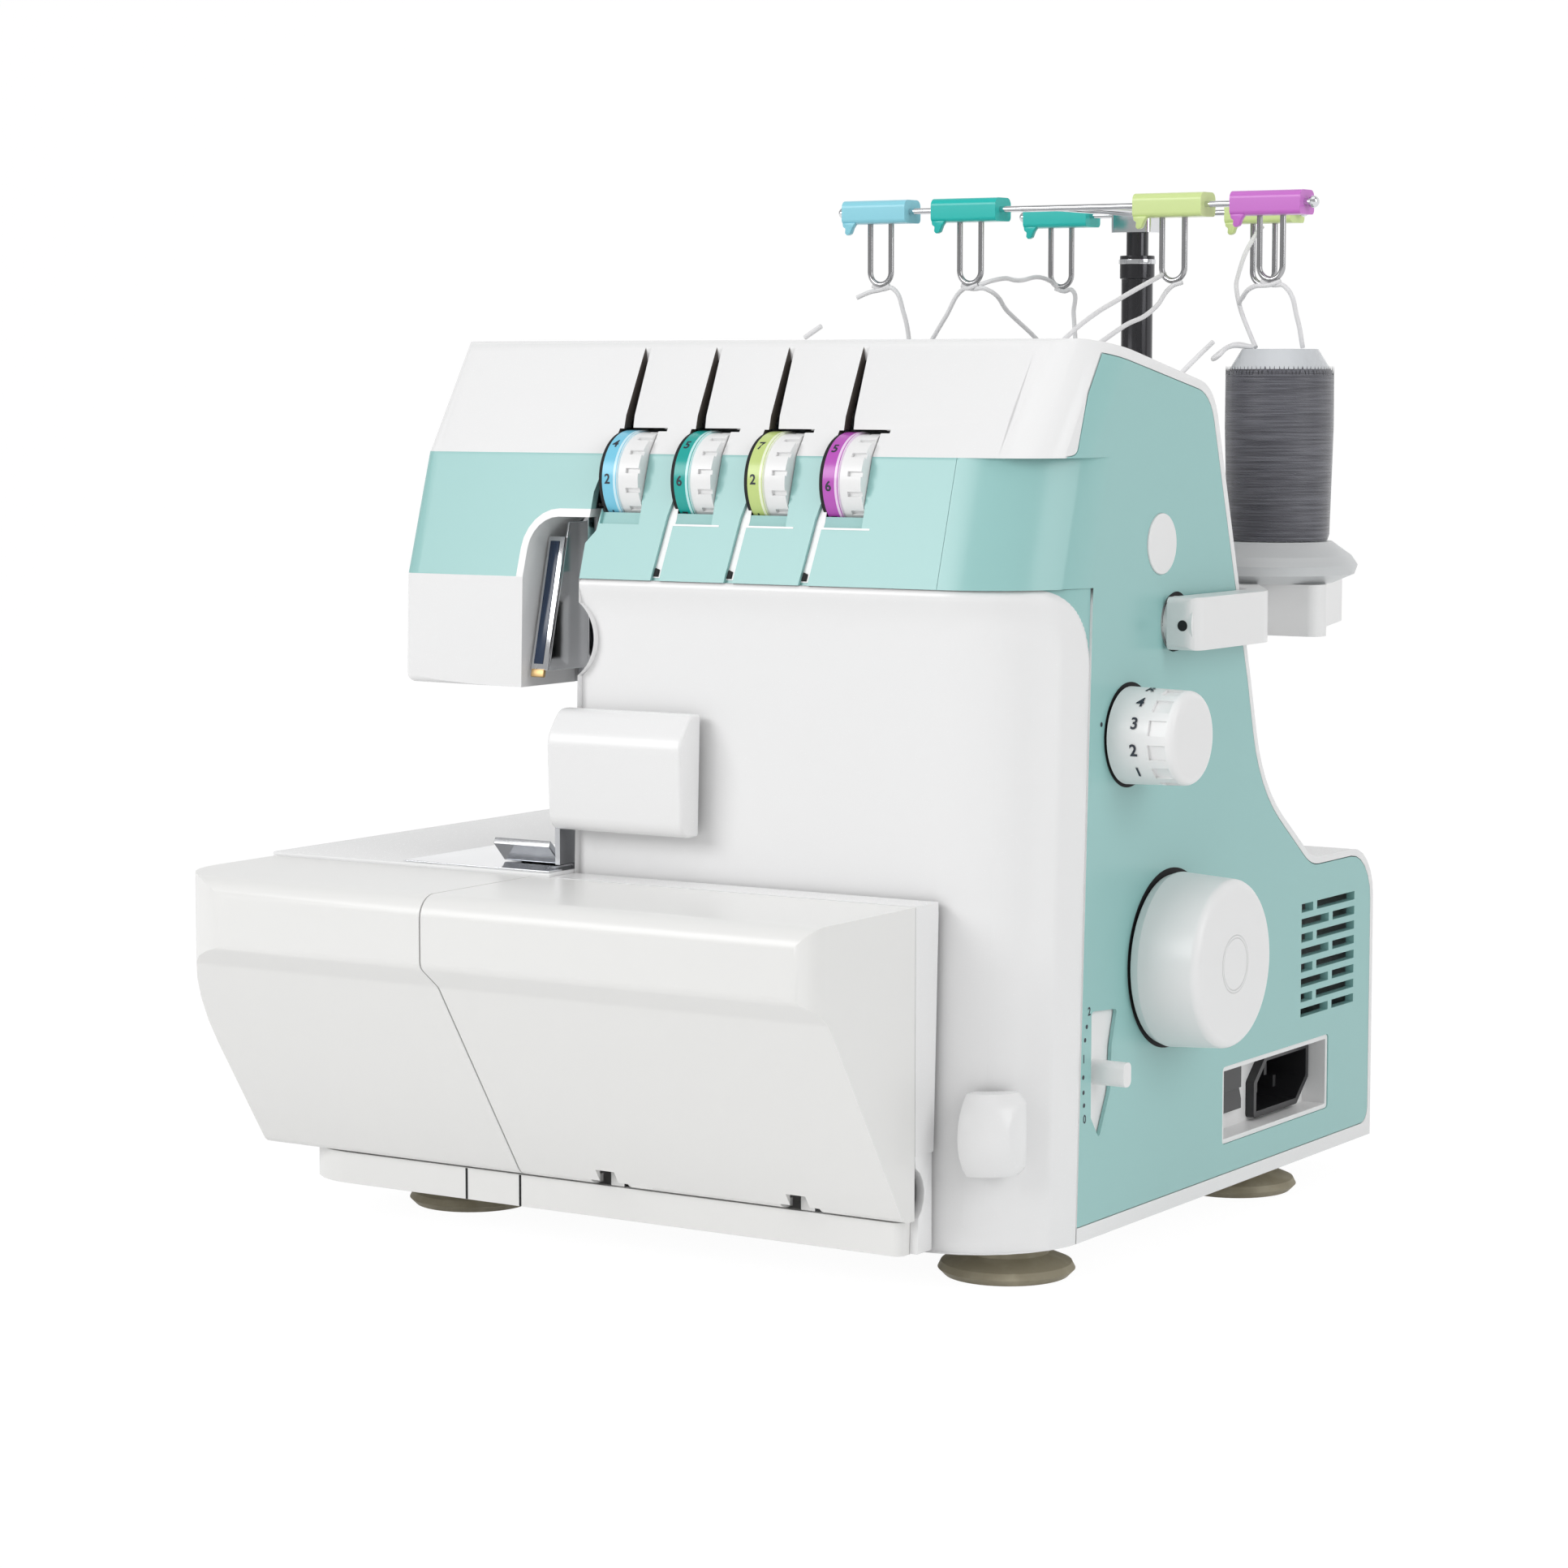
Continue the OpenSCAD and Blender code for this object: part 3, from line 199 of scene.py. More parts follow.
shell_colour, control_colour = (0.86, 0.86, 0.862), (0.855, 0.855, 0.855)
white_shell = moulded("white_shell", shell_colour, 0.27)
cover_white = moulded("cover_white", (0.83, 0.828, 0.815), 0.30)
teal_shell = moulded("teal_shell", (0.315, 0.570, 0.553), 0.25)
white_plastic = moulded("white_plastic", control_colour, 0.34)
black_plastic = moulded("black_plastic", (0.018, 0.018, 0.020), 0.34)
ring_blue = moulded("ring_blue", (0.20, 0.60, 0.80), 0.25)
ring_teal = moulded("ring_teal", (0.01, 0.38, 0.34), 0.25)
ring_green = moulded("ring_green", (0.57, 0.70, 0.24), 0.25)
ring_magenta = moulded("ring_magenta", (0.50, 0.09, 0.50), 0.25)
ink = moulded("ink", (0.02, 0.025, 0.04), 0.5)
shadow_gap = moulded("shadow_gap", (0.012, 0.012, 0.013), 0.8)
clip_blue = moulded("clip_blue", (0.28, 0.68, 0.80), 0.28)
clip_teal = moulded("clip_teal", (0.01, 0.52, 0.47), 0.28)
clip_green = moulded("clip_green", (0.66, 0.80, 0.33), 0.28)
clip_magenta = moulded("clip_magenta", (0.61, 0.17, 0.62), 0.28)

# %% [markdown]
# Rubber is dull and dusty. The discs under the spools are milky: some light passes, so the edge looks grey.

# %% Rubber and milky plastic
foot_rubber = Finish("foot_rubber", (0.33, 0.293, 0.205), 0.62)
dust = foot_rubber.noise(120, 5).between(0.35, 0.7)
foot_rubber.set(Base_Color=foot_rubber.mix(dust, (0.287, 0.255, 0.176, 1), (0.377, 0.338, 0.243, 1)))
foot_rubber.bump(foot_rubber.noise(900, 3), 0.00006, 0.5)

milky = moulded("milky_disc", (0.88, 0.90, 0.91), 0.34, Transmission_Weight=0.35, IOR=1.45)
belt_rubber = Finish("belt_rubber", (0.03, 0.03, 0.03), 0.7)
belt_rubber.bump(belt_rubber.noise(1500, 2), 0.0001, 0.5)

# %% [markdown]
# Plated parts are mirror-smooth but for fine hairlines. Ground parts show the direction of the wheel.


# %% Metals
def metal(name, colour, roughness, stretch, scratch=0.12, depth=0.00002):
    finish = Finish(name, colour, roughness, Metallic=1.0)
    lines = finish.noise(420, 3, stretch)
    finish.set(Roughness=lines * scratch + (roughness - scratch * 0.45))
    stain = finish.noise(60, 3).between(0.3, 0.8)
    finish.set(Base_Color=finish.mix(stain, shade(colour, 0.94), shade(colour, 1.02)))
    finish.bump(lines, depth, 0.3)
    return finish


chrome = metal("polished_steel", (0.72, 0.73, 0.75), 0.10, (1, 1, 0.08), 0.05)
# The loop wire is a darker steel than the chrome, as painted dark reflection.
loop_wire = metal("loop_wire", (0.44, 0.44, 0.45), 0.13, (1, 1, 0.08), 0.05)
black_chrome = metal("black_chrome", (0.075, 0.075, 0.08), 0.14, (1, 1, 0.08), 0.05)
ground_steel = metal("ground_steel", (0.56, 0.57, 0.59), 0.30, (0.06, 1, 1), 0.2, 0.00004)
cast_alloy = metal("cast_alloy", (0.50, 0.51, 0.52), 0.50, (1, 1, 1), 0.2, 0.00012)
bronze = metal("bush_bronze", (0.58, 0.40, 0.19), 0.40, (1, 1, 1), 0.2, 0.00006)
motor_paint = moulded("motor_steel", (0.17, 0.18, 0.20), 0.45)

# %% [markdown]
# The edges of real mouldings are rounded, and a rounded edge is what catches the light. A solid's mesh is loose
# triangles, so the copy is merged, its flat triangles are joined, and its sharp edges are bevelled. The four shells
# of the head are drawn out a little at their left end first.


# %% Soft-edged copies
head_end, head_under, head_drop = -101, 180, 4.2


def add_piece(name, shape, material, body=None, angle=30):
    """Turns a bmesh into an object, smooth where its faces meet at less than angle, that rides on a body."""
    mesh = bpy.data.meshes.new(name)
    shape.to_mesh(mesh)
    shape.free()
    mesh.shade_smooth()
    mesh.set_sharp_from_angle(angle=math.radians(angle))
    piece = bpy.data.objects.new(name, mesh)
    bpy.context.scene.collection.objects.link(piece)
    mesh.materials.append(material.material)
    if body:
        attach(piece, body)
    return piece


def body_of(node):
    return frame["nodes"][node]["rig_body"]


def slot_of(node):
    return next(s["material_slot"] for s in frame["record"]["subparts"] if s["node"] == node)


def fuller_head(shape):
    """Lets the head's end stand out a little more, and hang a little lower, than the solids do."""
    for v in shape.verts:
        x, y, z = in_mm(v.co)
        if x < head_end and z > 150:
            v.co.x -= (1.6 + max(0.0, (z - 250) / 36.5) * 2.0) * MM
        if x < -38 and 170 < z < 184:
            v.co.z -= head_drop * MM


def merged(node):
    shape = bmesh.new()
    shape.from_mesh(frame["nodes"][node].data)
    bmesh.ops.remove_doubles(shape, verts=shape.verts, dist=3e-6)
    bmesh.ops.dissolve_limit(shape, angle_limit=math.radians(0.5), verts=shape.verts, edges=shape.edges,
                             use_dissolve_boundaries=False, delimit=set())
    if node in ("face_cover", "rear_housing", "head_band", "head_top_cover"):
        fuller_head(shape)
    return shape


def round_edges(shape, width, angle=32, segments=3, where=None, clamp=True):
    sharp = [e for e in shape.edges if e.is_manifold and e.calc_face_angle() > math.radians(angle)
             and (where is None or where(e))]
    if sharp:
        bmesh.ops.bevel(shape, geom=sharp, offset=width, offset_type="OFFSET", segments=segments, profile=0.5,
                        affect="EDGES", clamp_overlap=clamp, material=-1)


def stand_for(piece, node):
    """Puts piece in the place of a solid, which it hides."""
    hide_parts(node)
    slot_of(node)
    return piece


def soft_edged(node, material, width, wide=None):
    """A copy of a solid with its sharp edges rounded, and rounder still where wide picks an edge."""
    shape = merged(node)
    if wide:
        round_edges(shape, 0.0028, segments=6, where=wide, clamp=False)
    round_edges(shape, width)
    piece = add_piece(node + "_form", shape, material, body_of(node))
    weigh = piece.modifiers.new("even_shading", "WEIGHTED_NORMAL")
    weigh.keep_sharp = True
    return stand_for(piece, node)


def refinish(node, material):
    for slot in frame["nodes"][node].material_slots:
        slot.material = material.material


# %% [markdown]
# Some copies carry two materials. A face gets the second one by where its middle lies. The cover's hinge rod is
# steel, and the slides that carry it have the colour of the base.


# %% Hinge rod
def paint(piece, material, test):
    """Gives material to the faces whose middle passes test, in millimetres."""
    piece.data.materials.append(material.material)
    index = len(piece.data.materials) - 1
    for face in piece.data.polygons:
        if test(*in_mm(face.center)):
            face.material_index = index
    return piece


hinge_rod = soft_edged("cover_hinge_rod", ground_steel, 0.0002)
paint(hinge_rod, cover_white, lambda x, y, z: y > -126.9 and z < 29.5)
print("hinge rod:", len(hinge_rod.data.polygons), "faces")

# %% [markdown]
# Each shell, cover and control has a radius of its own on its edges. The parts inside keep their solids' shape and
# only get a better finish.


# %% Shells and covers
def head_corner(edge):
    """The lower edges at the left end of the head, which are rounder than the others."""
    ends = [in_mm(v.co) for v in edge.verts]
    return all(abs(p.z - (head_under - head_drop)) < 0.5 and p.x < -80 and (p.x < head_end or p.y < -105)
               for p in ends)


for node, material, width in (
        ("base_plate", cover_white, 0.0008), ("head_band", teal_shell, 0.0005), ("face_cover", white_shell, 0.0009),
        ("rear_housing", white_shell, 0.0010), ("side_cover", teal_shell, 0.0006), ("bed_housing", white_shell, 0.0006),
        ("cloth_plate", white_shell, 0.0008), ("looper_cover", cover_white, 0.0014),
        ("cloth_plate_cover", cover_white, 0.0014), ("cutter_guard", white_shell, 0.0010),
        ("needle_area_plate", chrome, 0.0003), ("needle_plate", chrome, 0.0003), ("presser_foot", chrome, 0.0004),
        ("presser_lifter", white_plastic, 0.0008), ("differential_lever", white_plastic, 0.0007),
        ("side_plug", white_plastic, 0.0004), ("power_switch", black_plastic, 0.0005),
        ("spool_stand", white_plastic, 0.0010), ("guide_bar", chrome, 0.0006)):
    made = soft_edged(node, material, width, wide=head_corner if node in ("face_cover", "rear_housing") else None)
    print(node, len(made.data.polygons), "faces")

for node, material in (("needle_bar", chrome), ("needle_clamp", ground_steel), ("needles", chrome),
                       ("presser_bar", chrome), ("main_shaft", ground_steel), ("feed_dogs", ground_steel),
                       ("lower_cutter", ground_steel), ("upper_cutter", ground_steel), ("lower_looper", chrome),
                       ("upper_looper", chrome), ("looper_shafts", ground_steel), ("tension_posts", ground_steel),
                       ("cast_frame", cast_alloy), ("bar_guide", cast_alloy), ("driven_pulley", cast_alloy),
                       ("motor_pulley", cast_alloy), ("shaft_bushes", bronze), ("drive_belt", belt_rubber),
                       ("motor", motor_paint), ("mast_upper", black_chrome), ("thread_loops", loop_wire),
                       ("rubber_feet", foot_rubber), ("spool_discs", milky), ("spool_1", white_plastic),
                       ("spool_2", white_plastic), ("spool_4", white_plastic)):
    refinish(node, material)

# %% [markdown]
# The top cover has a faint crease above the dials, where its slope turns a little steeper. The copy is cut at that
# height, and the points of the cut are drawn outwards by less than a millimetre. The walls of the thread slots are
# painted dark brown, as painted shade, since little light falls into them.

# %% Creased top cover
band_top_y, band_top_z, head_top_y, head_top_z, crease_z = -95.5, 250.0, -70.0, 286.5, 261.5
slope = Vector((0, head_top_y - band_top_y, head_top_z - band_top_z)).normalized()
slope_out = Vector((0, -slope.z, slope.y))


def on_slope(point):
    return abs((in_mm(point) - Vector((0, band_top_y, band_top_z))).dot(slope_out)) < 0.05


def creased_top():
    shape = merged("head_top_cover")
    front = [f for f in shape.faces if all(on_slope(v.co) for v in f.verts)]
    parts = set(front) | {e for f in front for e in f.edges} | {v for f in front for v in f.verts}
    bmesh.ops.bisect_plane(shape, geom=list(parts), dist=1e-6, plane_co=mm(0, 0, crease_z), plane_no=(0, 0, 1))
    crease = [v for v in shape.verts if on_slope(v.co) and abs(in_mm(v.co).z - crease_z) < 0.01]
    bmesh.ops.translate(shape, verts=crease, vec=slope_out * 0.75 * MM)
    round_edges(shape, 0.0008)
    return add_piece("head_top_cover_form", shape, white_shell, body_of("head_top_cover"), 20)


top = stand_for(creased_top(), "head_top_cover")
# Painted shade: a dark brown for the walls of the thread slots.
slot_painted_shade = moulded("slot_shade", (0.10, 0.085, 0.075), 0.5)
top.data.materials.append(slot_painted_shade.material)
for face in top.data.polygons:
    x, y, z = in_mm(face.center)
    if abs(face.normal.x) > 0.8 and -45 < x < 70 and z > band_top_z:
        face.material_index = 1
print("top cover:", len(top.data.polygons), "faces")

# %% [markdown]
# The front panel isn't flat: a smooth rim runs along its top and right side, and inside the rim the face falls
# away in a soft cove. A fine grid is laid over the solid's own surface, each point is pushed in by the depth of
# the cove there, and the solid's plain front faces are taken out from under it.

# %% Front panel surface
panel_bottom, panel_top, lean = 12.0, 211.0, math.atan2(7, 199)
corner_x, corner_r, panel_left, reach = 91.0, 36.0, -37, 183.9
front_y, rim_r = -114.5, 25
bite_s, bite_z, bite_r = -8, 192, 14


def panel_point(s, z, height):
    """A point on the front, s along it from the left, and height proud of it."""
    if s <= corner_x - panel_left:
        x, y, out = s + panel_left, 0.0, Vector((0, -1))
    else:
        turn = (s - corner_x + panel_left) / corner_r
        x, y = corner_x + corner_r * math.sin(turn), corner_r * (1 - math.cos(turn))
        out = Vector((math.sin(turn), -math.cos(turn)))
    up = (z - panel_bottom + y * math.sin(lean)) / math.cos(lean)
    x, y = x + out.x * height, y + out.y * height
    return mm(x, front_y + y * math.cos(lean) + up * math.sin(lean),
              panel_bottom - y * math.sin(lean) + up * math.cos(lean))


def inside_outline(s, z, right, top, radius):
    """How far a point lies inside an outline with one rounded corner at its top right."""
    du, dv = s - (right - radius), z - (top - radius)
    if du > 0 and dv > 0:
        return radius - math.hypot(du, dv)
    return min(right - s, top - z)


def panel_height(s, z):
    """How proud the face stands: a rounded rim, and a cove that falls away inside it."""
    rim = inside_outline(s, z, reach, panel_top, rim_r)
    if rim < 0:
        return -0.9
    cove = inside_outline(s, z, 170, panel_top - 2.6, 17)
    fall = -2.6 * math.sin(min(1.0, max(0.0, cove / 10)) * math.pi / 2)
    edge = -0.9 * (1 - min(1.0, rim / 1.6)) ** 2
    return fall + edge


def lies_on_front(point):
    x, y, z = in_mm(point)
    y, up = y - front_y, z - panel_bottom
    y, up = y * math.cos(lean) - up * math.sin(lean), y * math.sin(lean) + up * math.cos(lean)
    if x > corner_x:
        return abs(math.hypot(x - corner_x, y - corner_r) - corner_r) < 0.3 and y < corner_r + 0.5
    return abs(y) < 0.06


def dressed_panel():
    shape = merged("front_panel")
    plain = [f for f in shape.faces if all(lies_on_front(v.co) for v in f.verts) and abs(f.normal.z) < 0.5]
    print("front faces taken out:", len(plain))
    bmesh.ops.delete(shape, geom=plain, context="FACES")
    round_edges(shape, 0.0007, 40, where=lambda e: not any(lies_on_front(v.co) for v in e.verts))
    return stand_for(add_piece("front_panel_form", shape, white_shell, "machine"), "front_panel")


def panel_skin():
    """The coved face, with a round bite out of its left edge beside the needles."""
    shape = bmesh.new()
    bmesh.ops.create_grid(shape, x_segments=184, y_segments=160, size=1)
    corner = shape.verts.layers.float.new("teal_corner")
    for v in shape.verts:
        s, t = (v.co.x + 1) / 2 * reach, (v.co.y + 1) / 2
        z = panel_bottom + t * (panel_top - panel_bottom)
        away = Vector((s - bite_s, z - bite_z))
        if bite_r - 1.6 < away.length < bite_r + 1.6:
            away = away.normalized() * max(bite_r, away.length)
        s, z = away.x + bite_s, away.y + bite_z
        v[corner] = inside_outline(s, z, reach, panel_top, rim_r)
        v.co = panel_point(s, z, panel_height(s, z))
        v.tag = away.length < bite_r - 0.5
    bmesh.ops.delete(shape, geom=[v for v in shape.verts if v.tag], context="VERTS")
    return shape


panel_finish = moulded("panel_white_and_teal", shell_colour, 0.27)
past_corner = panel_finish.attribute("teal_corner").between(-0.35, -0.05)
panel_finish.set(Base_Color=panel_finish.mix(past_corner, teal_shell.base, white_shell.base))
dressed_panel()
skin = add_piece("front_panel_skin", panel_skin(), panel_finish, "machine", 40)
print("panel skin:", len(skin.data.polygons), "faces")

# %% [markdown]
# The mains inlet is several loose parts in one solid: a white frame, a black insert and bright pins. Each part is
# told by how far to the right it reaches.


# %% Mains inlet
def paint_parts(piece, material, low, high):
    """Gives material to the loose parts of a copy whose outermost point along X is between low and high."""
    piece.data.materials.append(material.material)
    index = len(piece.data.materials) - 1
    shape = bmesh.new()
    shape.from_mesh(piece.data)
    left = set(shape.verts)
    while left:
        part, queue = [], [left.pop()]
        while queue:
            part.append(queue.pop())
            near = {e.other_vert(part[-1]) for e in part[-1].link_edges} & left
            left -= near
            queue.extend(near)
        if low < max(in_mm(v.co).x for v in part) < high:
            for face in {f for v in part for f in v.link_faces}:
                face.material_index = index
    shape.to_mesh(piece.data)
    shape.free()
    return piece


inlet = soft_edged("mains_inlet", white_plastic, 0.0003)
paint_parts(inlet, black_plastic, 117, 124)
paint_parts(inlet, chrome, 90, 117)
print("inlet:", len(inlet.data.polygons), "faces")

# %% [markdown]
# Flat trims, such as the groove liners, are outlines given a thickness in their own plane. The plane is set by its
# origin and by which ways are right and up in it.


# %% Slabs in a plane
def plane(origin, right, up):
    right, up = Vector(right).normalized(), Vector(up).normalized()
    place = Matrix((right, up, right.cross(up))).transposed().to_4x4()
    place.translation = mm(*origin)
    return place


def rectangle(left, low, right, high):
    return [(left, low), (right, low), (right, high), (left, high)]


def settle(shape, place):
    """Brings a shape that was made in millimetres to metres, and into its plane."""
    bmesh.ops.scale(shape, verts=shape.verts, vec=(MM, MM, MM))
    bmesh.ops.transform(shape, matrix=place, verts=shape.verts)
    return shape


def slab(outline, thickness, place, edge=0.0):
    shape = bmesh.new()
    face = shape.faces.new([shape.verts.new((u, v, 0)) for u, v in outline])
    grown = bmesh.ops.extrude_face_region(shape, geom=[face])
    rim = [part for part in grown["geom"] if isinstance(part, bmesh.types.BMVert)]
    bmesh.ops.translate(shape, verts=rim, vec=(0, 0, thickness))
    bmesh.ops.recalc_face_normals(shape, faces=shape.faces)
    if edge:
        round_edges(shape, edge, 40, 2)
    return settle(shape, place)


def lathe(profile, along, centre, steps=64):
    """Turns a profile of (radius, distance) points about X or Z."""
    shape = bmesh.new()
    points = [shape.verts.new((r, 0, d) if along == "Z" else (d, r, 0)) for r, d in profile]
    lines = [shape.edges.new(pair) for pair in zip(points, points[1:])]
    bmesh.ops.spin(shape, geom=points + lines, cent=(0, 0, 0), axis=(0, 0, 1) if along == "Z" else (1, 0, 0),
                   angle=math.tau, steps=steps, use_merge=True)
    bmesh.ops.remove_doubles(shape, verts=shape.verts, dist=1e-4)
    bmesh.ops.recalc_face_normals(shape, faces=shape.faces)
    bmesh.ops.scale(shape, verts=shape.verts, vec=(MM, MM, MM))
    bmesh.ops.translate(shape, verts=shape.verts, vec=mm(*centre))
    return shape


def trim(name, shape, material, slot, body="machine"):
    return add_piece(name, shape, material, body)


def shape_of(curve):
    """The mesh of a text or a bent line, as a bmesh."""
    holder = bpy.data.objects.new(curve.name + "_holder", curve)
    mesh = bpy.data.meshes.new_from_object(holder)
    shape = bmesh.new()
    shape.from_mesh(mesh)
    bpy.data.objects.remove(holder)
    bpy.data.meshes.remove(mesh)
    return shape


# %% [markdown]
# The numbers on the dials are plain printed figures. Each is a text made into a mesh, and bent round its drum.


# %% Printed figures
def figures(name, text, height, place, body, drum=None, lift=0.06):
    """A printed text, height high; drum is the radius it is bent to."""
    words = bpy.data.curves.new(name, "FONT")
    words.body, words.size, words.align_x, words.align_y = text, height / 0.72, "CENTER", "CENTER"
    words.resolution_u, words.offset = 6, 0.032 * height
    shape = shape_of(words)
    bmesh.ops.triangulate(shape, faces=shape.faces)
    for v in shape.verts:
        if drum:
            turn = v.co.y / drum
            v.co = Vector((v.co.x, (drum + lift) * math.sin(turn), (drum + lift) * math.cos(turn) - drum))
        else:
            v.co.z = lift
    return trim(name, settle(shape, place), ink, "black_plastic", body)


def on_drum(x, axis_y, axis_z, radius, degrees):
    """The plane that touches a drum lying along X, at an angle above its front."""
    a = math.radians(degrees)
    return plane((x, axis_y - radius * math.cos(a), axis_z + radius * math.sin(a)), (1, 0, 0),
                 (0, math.sin(a), math.cos(a)))


# %% [markdown]
# A tension dial is a coloured ring with figures and a white, ribbed barrel beside it. A chamfer with a pale tint, a
# painted highlight, parts the two, and a dark disc of painted shade fills the gap at the ring's left.

# %% Tension dials
dial_pitch, dial_first, dial_axis, dial_r = 27.2, -28.9, (-87.0, 241.8), 15.5
# Pale tints for the painted highlight on each dial's chamfer.
pale = {"blue": (0.62, 0.86, 0.95), "teal": (0.55, 0.86, 0.86), "green": (0.86, 0.92, 0.68),
        "magenta": (0.86, 0.66, 0.88)}
for index, (name, ring, marks) in enumerate((
        ("blue", ring_blue, ((1, "2"), (47, "4"), (93, "6"), (-44, "1"), (137, "8"))),
        ("teal", ring_teal, ((0, "6"), (46, "5"), (92, "4"), (-44, "7"))),
        ("green", ring_green, ((3, "2"), (46, "7"), (92, "3"), (-44, "1"))),
        ("magenta", ring_magenta, ((-3, "6"), (43, "5"), (90, "4"), (-46, "7"))))):
    middle, node, body = dial_first + dial_pitch * index, "tension_dial_" + name, "dial_" + name
    dial = soft_edged(node, white_plastic, 0.0003)
    paint(dial, ring, lambda x, y, z: x < middle + 2.69)
    # Painted highlight: the chamfer ring between the colour and the barrel is a pale tint.
    chamfer_highlight = moulded("chamfer_" + name, pale[name], 0.22)
    edge = lathe([(dial_r - 0.7, 1.4), (dial_r + 0.04, 1.5), (dial_r + 0.04, 2.3), (dial_r - 0.35, 2.9),
                  (dial_r - 0.7, 2.9), (dial_r - 0.7, 1.4)], "X", (middle, *dial_axis), 96)
    trim("dial_edge_" + name, edge, chamfer_highlight, slot_of(node), body)
    # Painted shade: a dark disc in the gap at the ring's left.
    gap = lathe(rectangle(9, -4.05, 15.25, -2.75), "X", (middle, *dial_axis), 96)
    trim("dial_gap_" + name, gap, shadow_gap, "black_plastic", body)
    for degrees, text in marks:
        figures(f"dial_{name}_{text}", text, 3.1, on_drum(middle - 0.7, *dial_axis, dial_r, degrees), body, dial_r)
    print("dial", name, "at", round(middle, 1))

# %% [markdown]
# Each groove in the band guides a thread out of its dial. The bare white of the shell shows in it, and a dark slab of
# painted shade stands in the hole that ends it. A thin white strip across the band above it is a painted highlight on
# the lower edge of the step under the dial.

# %% Groove liners
band_tilt = math.atan2(12, 39)
for index in (1, 2, 3):
    place = plane((dial_first + dial_pitch * index, band_top_y, band_top_z), (1, 0, 0),
                  (0, math.sin(band_tilt), math.cos(band_tilt)))
    inward = place @ Matrix.Translation((0, 0, -1.25 * MM))
    liner = slab([(-8.2, -39.6), (-5.5, -39.6), (-2.95, -20.5), (-3.1, -9), (-5.9, -20)], 0.12, inward)
    trim(f"groove_liner_{index}", liner, white_shell, "white_shell")
    # Painted highlight: a thin white strip on the lower edge of the step.
    step = slab(rectangle(-3.9, -23.1, 13.9, -22.5), 0.1, place)
    trim(f"step_edge_{index}", step, white_shell, "white_shell")
    # Painted shade: a dark slab where the groove ends in a hole.
    hole = slab([(-8.0, -39.2), (-6.2, -39.2), (-6.0, -37), (-7.6, -36.4)], 0.5, inward, 0.15)
    trim(f"groove_end_{index}", hole, shadow_gap, "black_plastic")

# %% [markdown]
# The stitch-length dial carries its figures on the drum, with an index dot on the cover beside it. Dots and figures
# also mark the places of the feed lever.

# %% Side controls
side_x, length_r = 127.0, 14.95
soft_edged("stitch_length_dial", white_plastic, 0.0004)
for text, degrees in (("4", 48), ("3", 19), ("2", -13), ("R", 78), ("1", -43)):
    figures("length_" + text, text, 3.7, on_drum(136.8, -49.7, 165, length_r, degrees), "stitch_length_dial",
            length_r)


def facing_right(x, y, z):
    return plane((x, y, z), (0, 1, 0), (0, 0, 1))


def facing_front(x, y, z):
    return plane((x, y, z), (1, 0, 0), (0, 0, 1))


def dot(name, place, radius, material=ink):
    shape = bmesh.new()
    bmesh.ops.create_circle(shape, cap_ends=True, segments=24, radius=radius * MM)
    bmesh.ops.transform(shape, matrix=place, verts=shape.verts)
    return trim(name, shape, material, "black_plastic")


dot("length_index", facing_right(127.05, -66.3, 169.4), 0.75)
for number, (y, z) in enumerate(((-74.2, 78), (-75.2, 74), (-76.2, 62.7), (-76.0, 58), (-75.6, 54))):
    dot(f"feed_mark_{number}", facing_right(127.05, y, z), 0.7)
for text, y, z in (("2", -72.7, 82.4), ("1", -76, 68.2), ("0", -75.2, 49.6)):
    figures("feed_" + text, text, 2.6, facing_right(side_x, y, z), "machine")
print("stitch-length dial and feed marks made")

# %% [markdown]
# The handwheel's hub has a fine ring pressed into it. A ring of shadow lies round each control that stands out of
# the side, and round the arm of the thread stand.

# %% Handwheel, gaps and small closures
wheel_white = moulded("wheel_white", control_colour, 0.32)
hub_y, hub_z = mm(0, -21.7, 92.6).yz
hub_ring = 0.0086
from_hub = ((wheel_white.axis("Y") - hub_y).power(2) + (wheel_white.axis("Z") - hub_z).power(2)).power(0.5)
wheel_white.bump((from_hub - hub_ring).absolute().between(0.0002, 0.0007), 0.0004)
soft_edged("handwheel", wheel_white, 0.0004)
for name, inner_r, outer_r, y, z in (("handwheel", 20, 28.4, -19.6, 92.6), ("length_dial", 10, 16.2, -48.3, 165),
                                     ("arm", 4, 9.3, -17.4, 198.2)):
    gap = lathe(rectangle(inner_r, 0.03, outer_r, 0.12), "X", (side_x, y, z), 72)
    trim(name + "_gap", gap, shadow_gap, "black_plastic")

# The piece beside the looper cover's right end leaves room for the cover's lip, which turns about the rod.
rod_y, rod_z, lip_r = -127, 31, 9
angles = [math.radians(degrees) for degrees in (65, 45, 25, 5, -15, -35, -52)]
arc = [(lip_r * math.cos(angle) + rod_y, lip_r * math.sin(angle) + rod_z) for angle in angles]
filler = slab([(-123.7, 43), *arc, (-122, 12.8), (-113.5, 12.8), (-113.5, 43)], 2.9, facing_right(93, 0, 0), 0.3)
trim("cover_end_filler", filler, white_shell, "white_shell")
# Painted shade: a dark dot at the screw on the front of the stand's arm.
dot("arm_screw", facing_front(134, -26.78, 197.5), 1.7, shadow_gap)
# Painted shade: dark slabs in the two slits of the base strip.
for number, x in enumerate((-68.3, -47.2)):
    slit = slab(rectangle(-0.4, -5, 0.4, 5), 0.1, facing_front(x, -127.02, 17.7))
    trim(f"strip_slit_{number}", slit, shadow_gap, "black_plastic")
print("handwheel, gaps and closures made")
